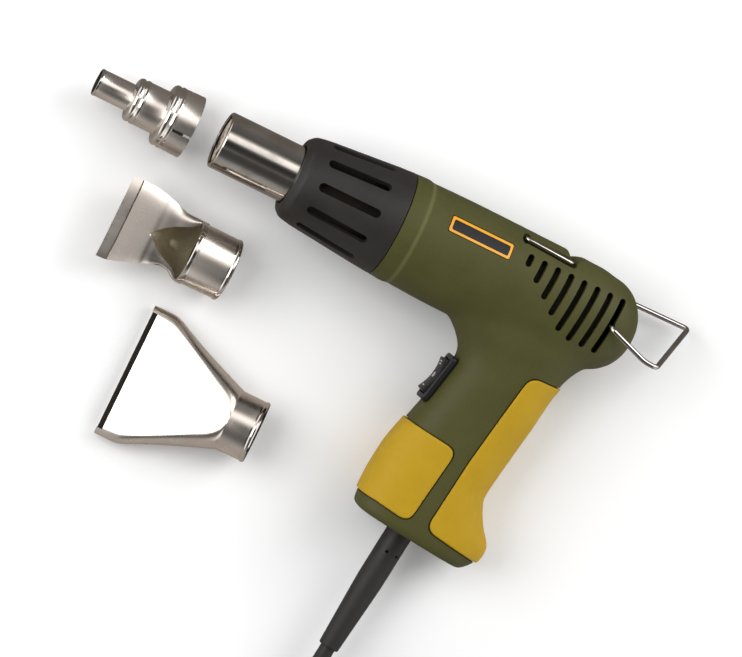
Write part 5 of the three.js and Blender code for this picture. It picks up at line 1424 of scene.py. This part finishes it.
# Slot nozzle: a round base pressed flat into a wide slot, satin steel with a flat panel above and below
# between rounded sides. It lies on its lower panel.
SLOT_AT = (0.0679, -0.1016)
FISHTAIL = [
    # distance from the rear of the base, half width, half height, half width of the flat panel
    (0.0124, 0.0133, 0.0133, 0.0006), (0.0138, 0.0139, 0.0130, 0.0040), (0.0175, 0.0153, 0.0122, 0.0078),
    (0.0240, 0.0178, 0.0109, 0.0114), (0.0330, 0.0214, 0.0090, 0.0164), (0.0420, 0.0254, 0.0071, 0.0210),
    (0.0480, 0.0282, 0.0059, 0.0236), (0.0520, 0.0290, 0.0050, 0.0246), (0.0602, 0.0290, 0.0034, 0.0250),
]
FISHTAIL_STEPS = 6
SIDE_STEPS = 16
PANEL_STEPS = 6
BASE_OVERLAP = 0.0003
SLOT_SETBACK = Vector((0.0026, 0.0262))


def fishtail(inset, past):
    """The flared part, drawn in by an inset, its ends moved out by past."""
    rings = []
    last = (len(FISHTAIL) - 1) * FISHTAIL_STEPS
    for k in range(last + 1):
        along, wide, high, panel = between(FISHTAIL, k / FISHTAIL_STEPS)
        along += -past if k == 0 else past if k == last else 0
        wide, high = wide - inset, high - inset
        panel = min(panel, wide - 0.0006)
        quarter = []
        for step in range(SIDE_STEPS + 1):
            turn = math.pi / 2 * step / SIDE_STEPS
            quarter.append((panel + (wide - panel) * math.cos(turn), high * math.sin(turn)))
        quarter += [(panel * (1 - step / PANEL_STEPS), high) for step in range(1, PANEL_STEPS)]
        half_ring = quarter + [(0, high)] + [(-y, z) for y, z in reversed(quarter)]
        ring = half_ring + [(y, -z) for y, z in reversed(half_ring[1:-1])]
        rings.append([Vector((-along, y, z)) for y, z in ring])
    return lofted(rings)


base_end, _, base_high, _ = FISHTAIL[0]
mouth_end, _, mouth_high, _ = FISHTAIL[-1]
fishtail_lean = math.atan2(base_high - mouth_high, mouth_end - base_end)
fishtail_height = base_high * math.cos(fishtail_lean) + base_end * math.sin(fishtail_lean)
slot_frame = Matrix.Translation((*SLOT_AT, fishtail_height)) @ Matrix.Rotation(-fishtail_lean, 4, "Y")
slot_base = turned([
    (-base_end - BASE_OVERLAP, NOZZLE_BORE), (-base_end - BASE_OVERLAP, NOZZLE_SKIN),
    *rear_bead(0, NOZZLE_RADIUS, NOZZLE_SKIN),
], 128)
wide_nozzle = carved(fishtail(0, 0), fishtail(NOZZLE_WALL, 0.001))
setback = block((-0.1, -SLOT_SETBACK.y, 0.0005), (SLOT_SETBACK.x - mouth_end, SLOT_SETBACK.y, 0.1))
wide_nozzle = carved(wide_nozzle, setback)
parted(wide_nozzle)
parted(slot_base, [(-RIM_BEAD - 0.0005, 1)])
finished(
    together(wide_nozzle, slot_base), "wide_nozzle", "slot_mouth", "polished_steel", nozzle_steel,
    "slot_nozzle", place=TABLE_FRAME @ slot_frame, also=NOZZLE_FINISHES,
)
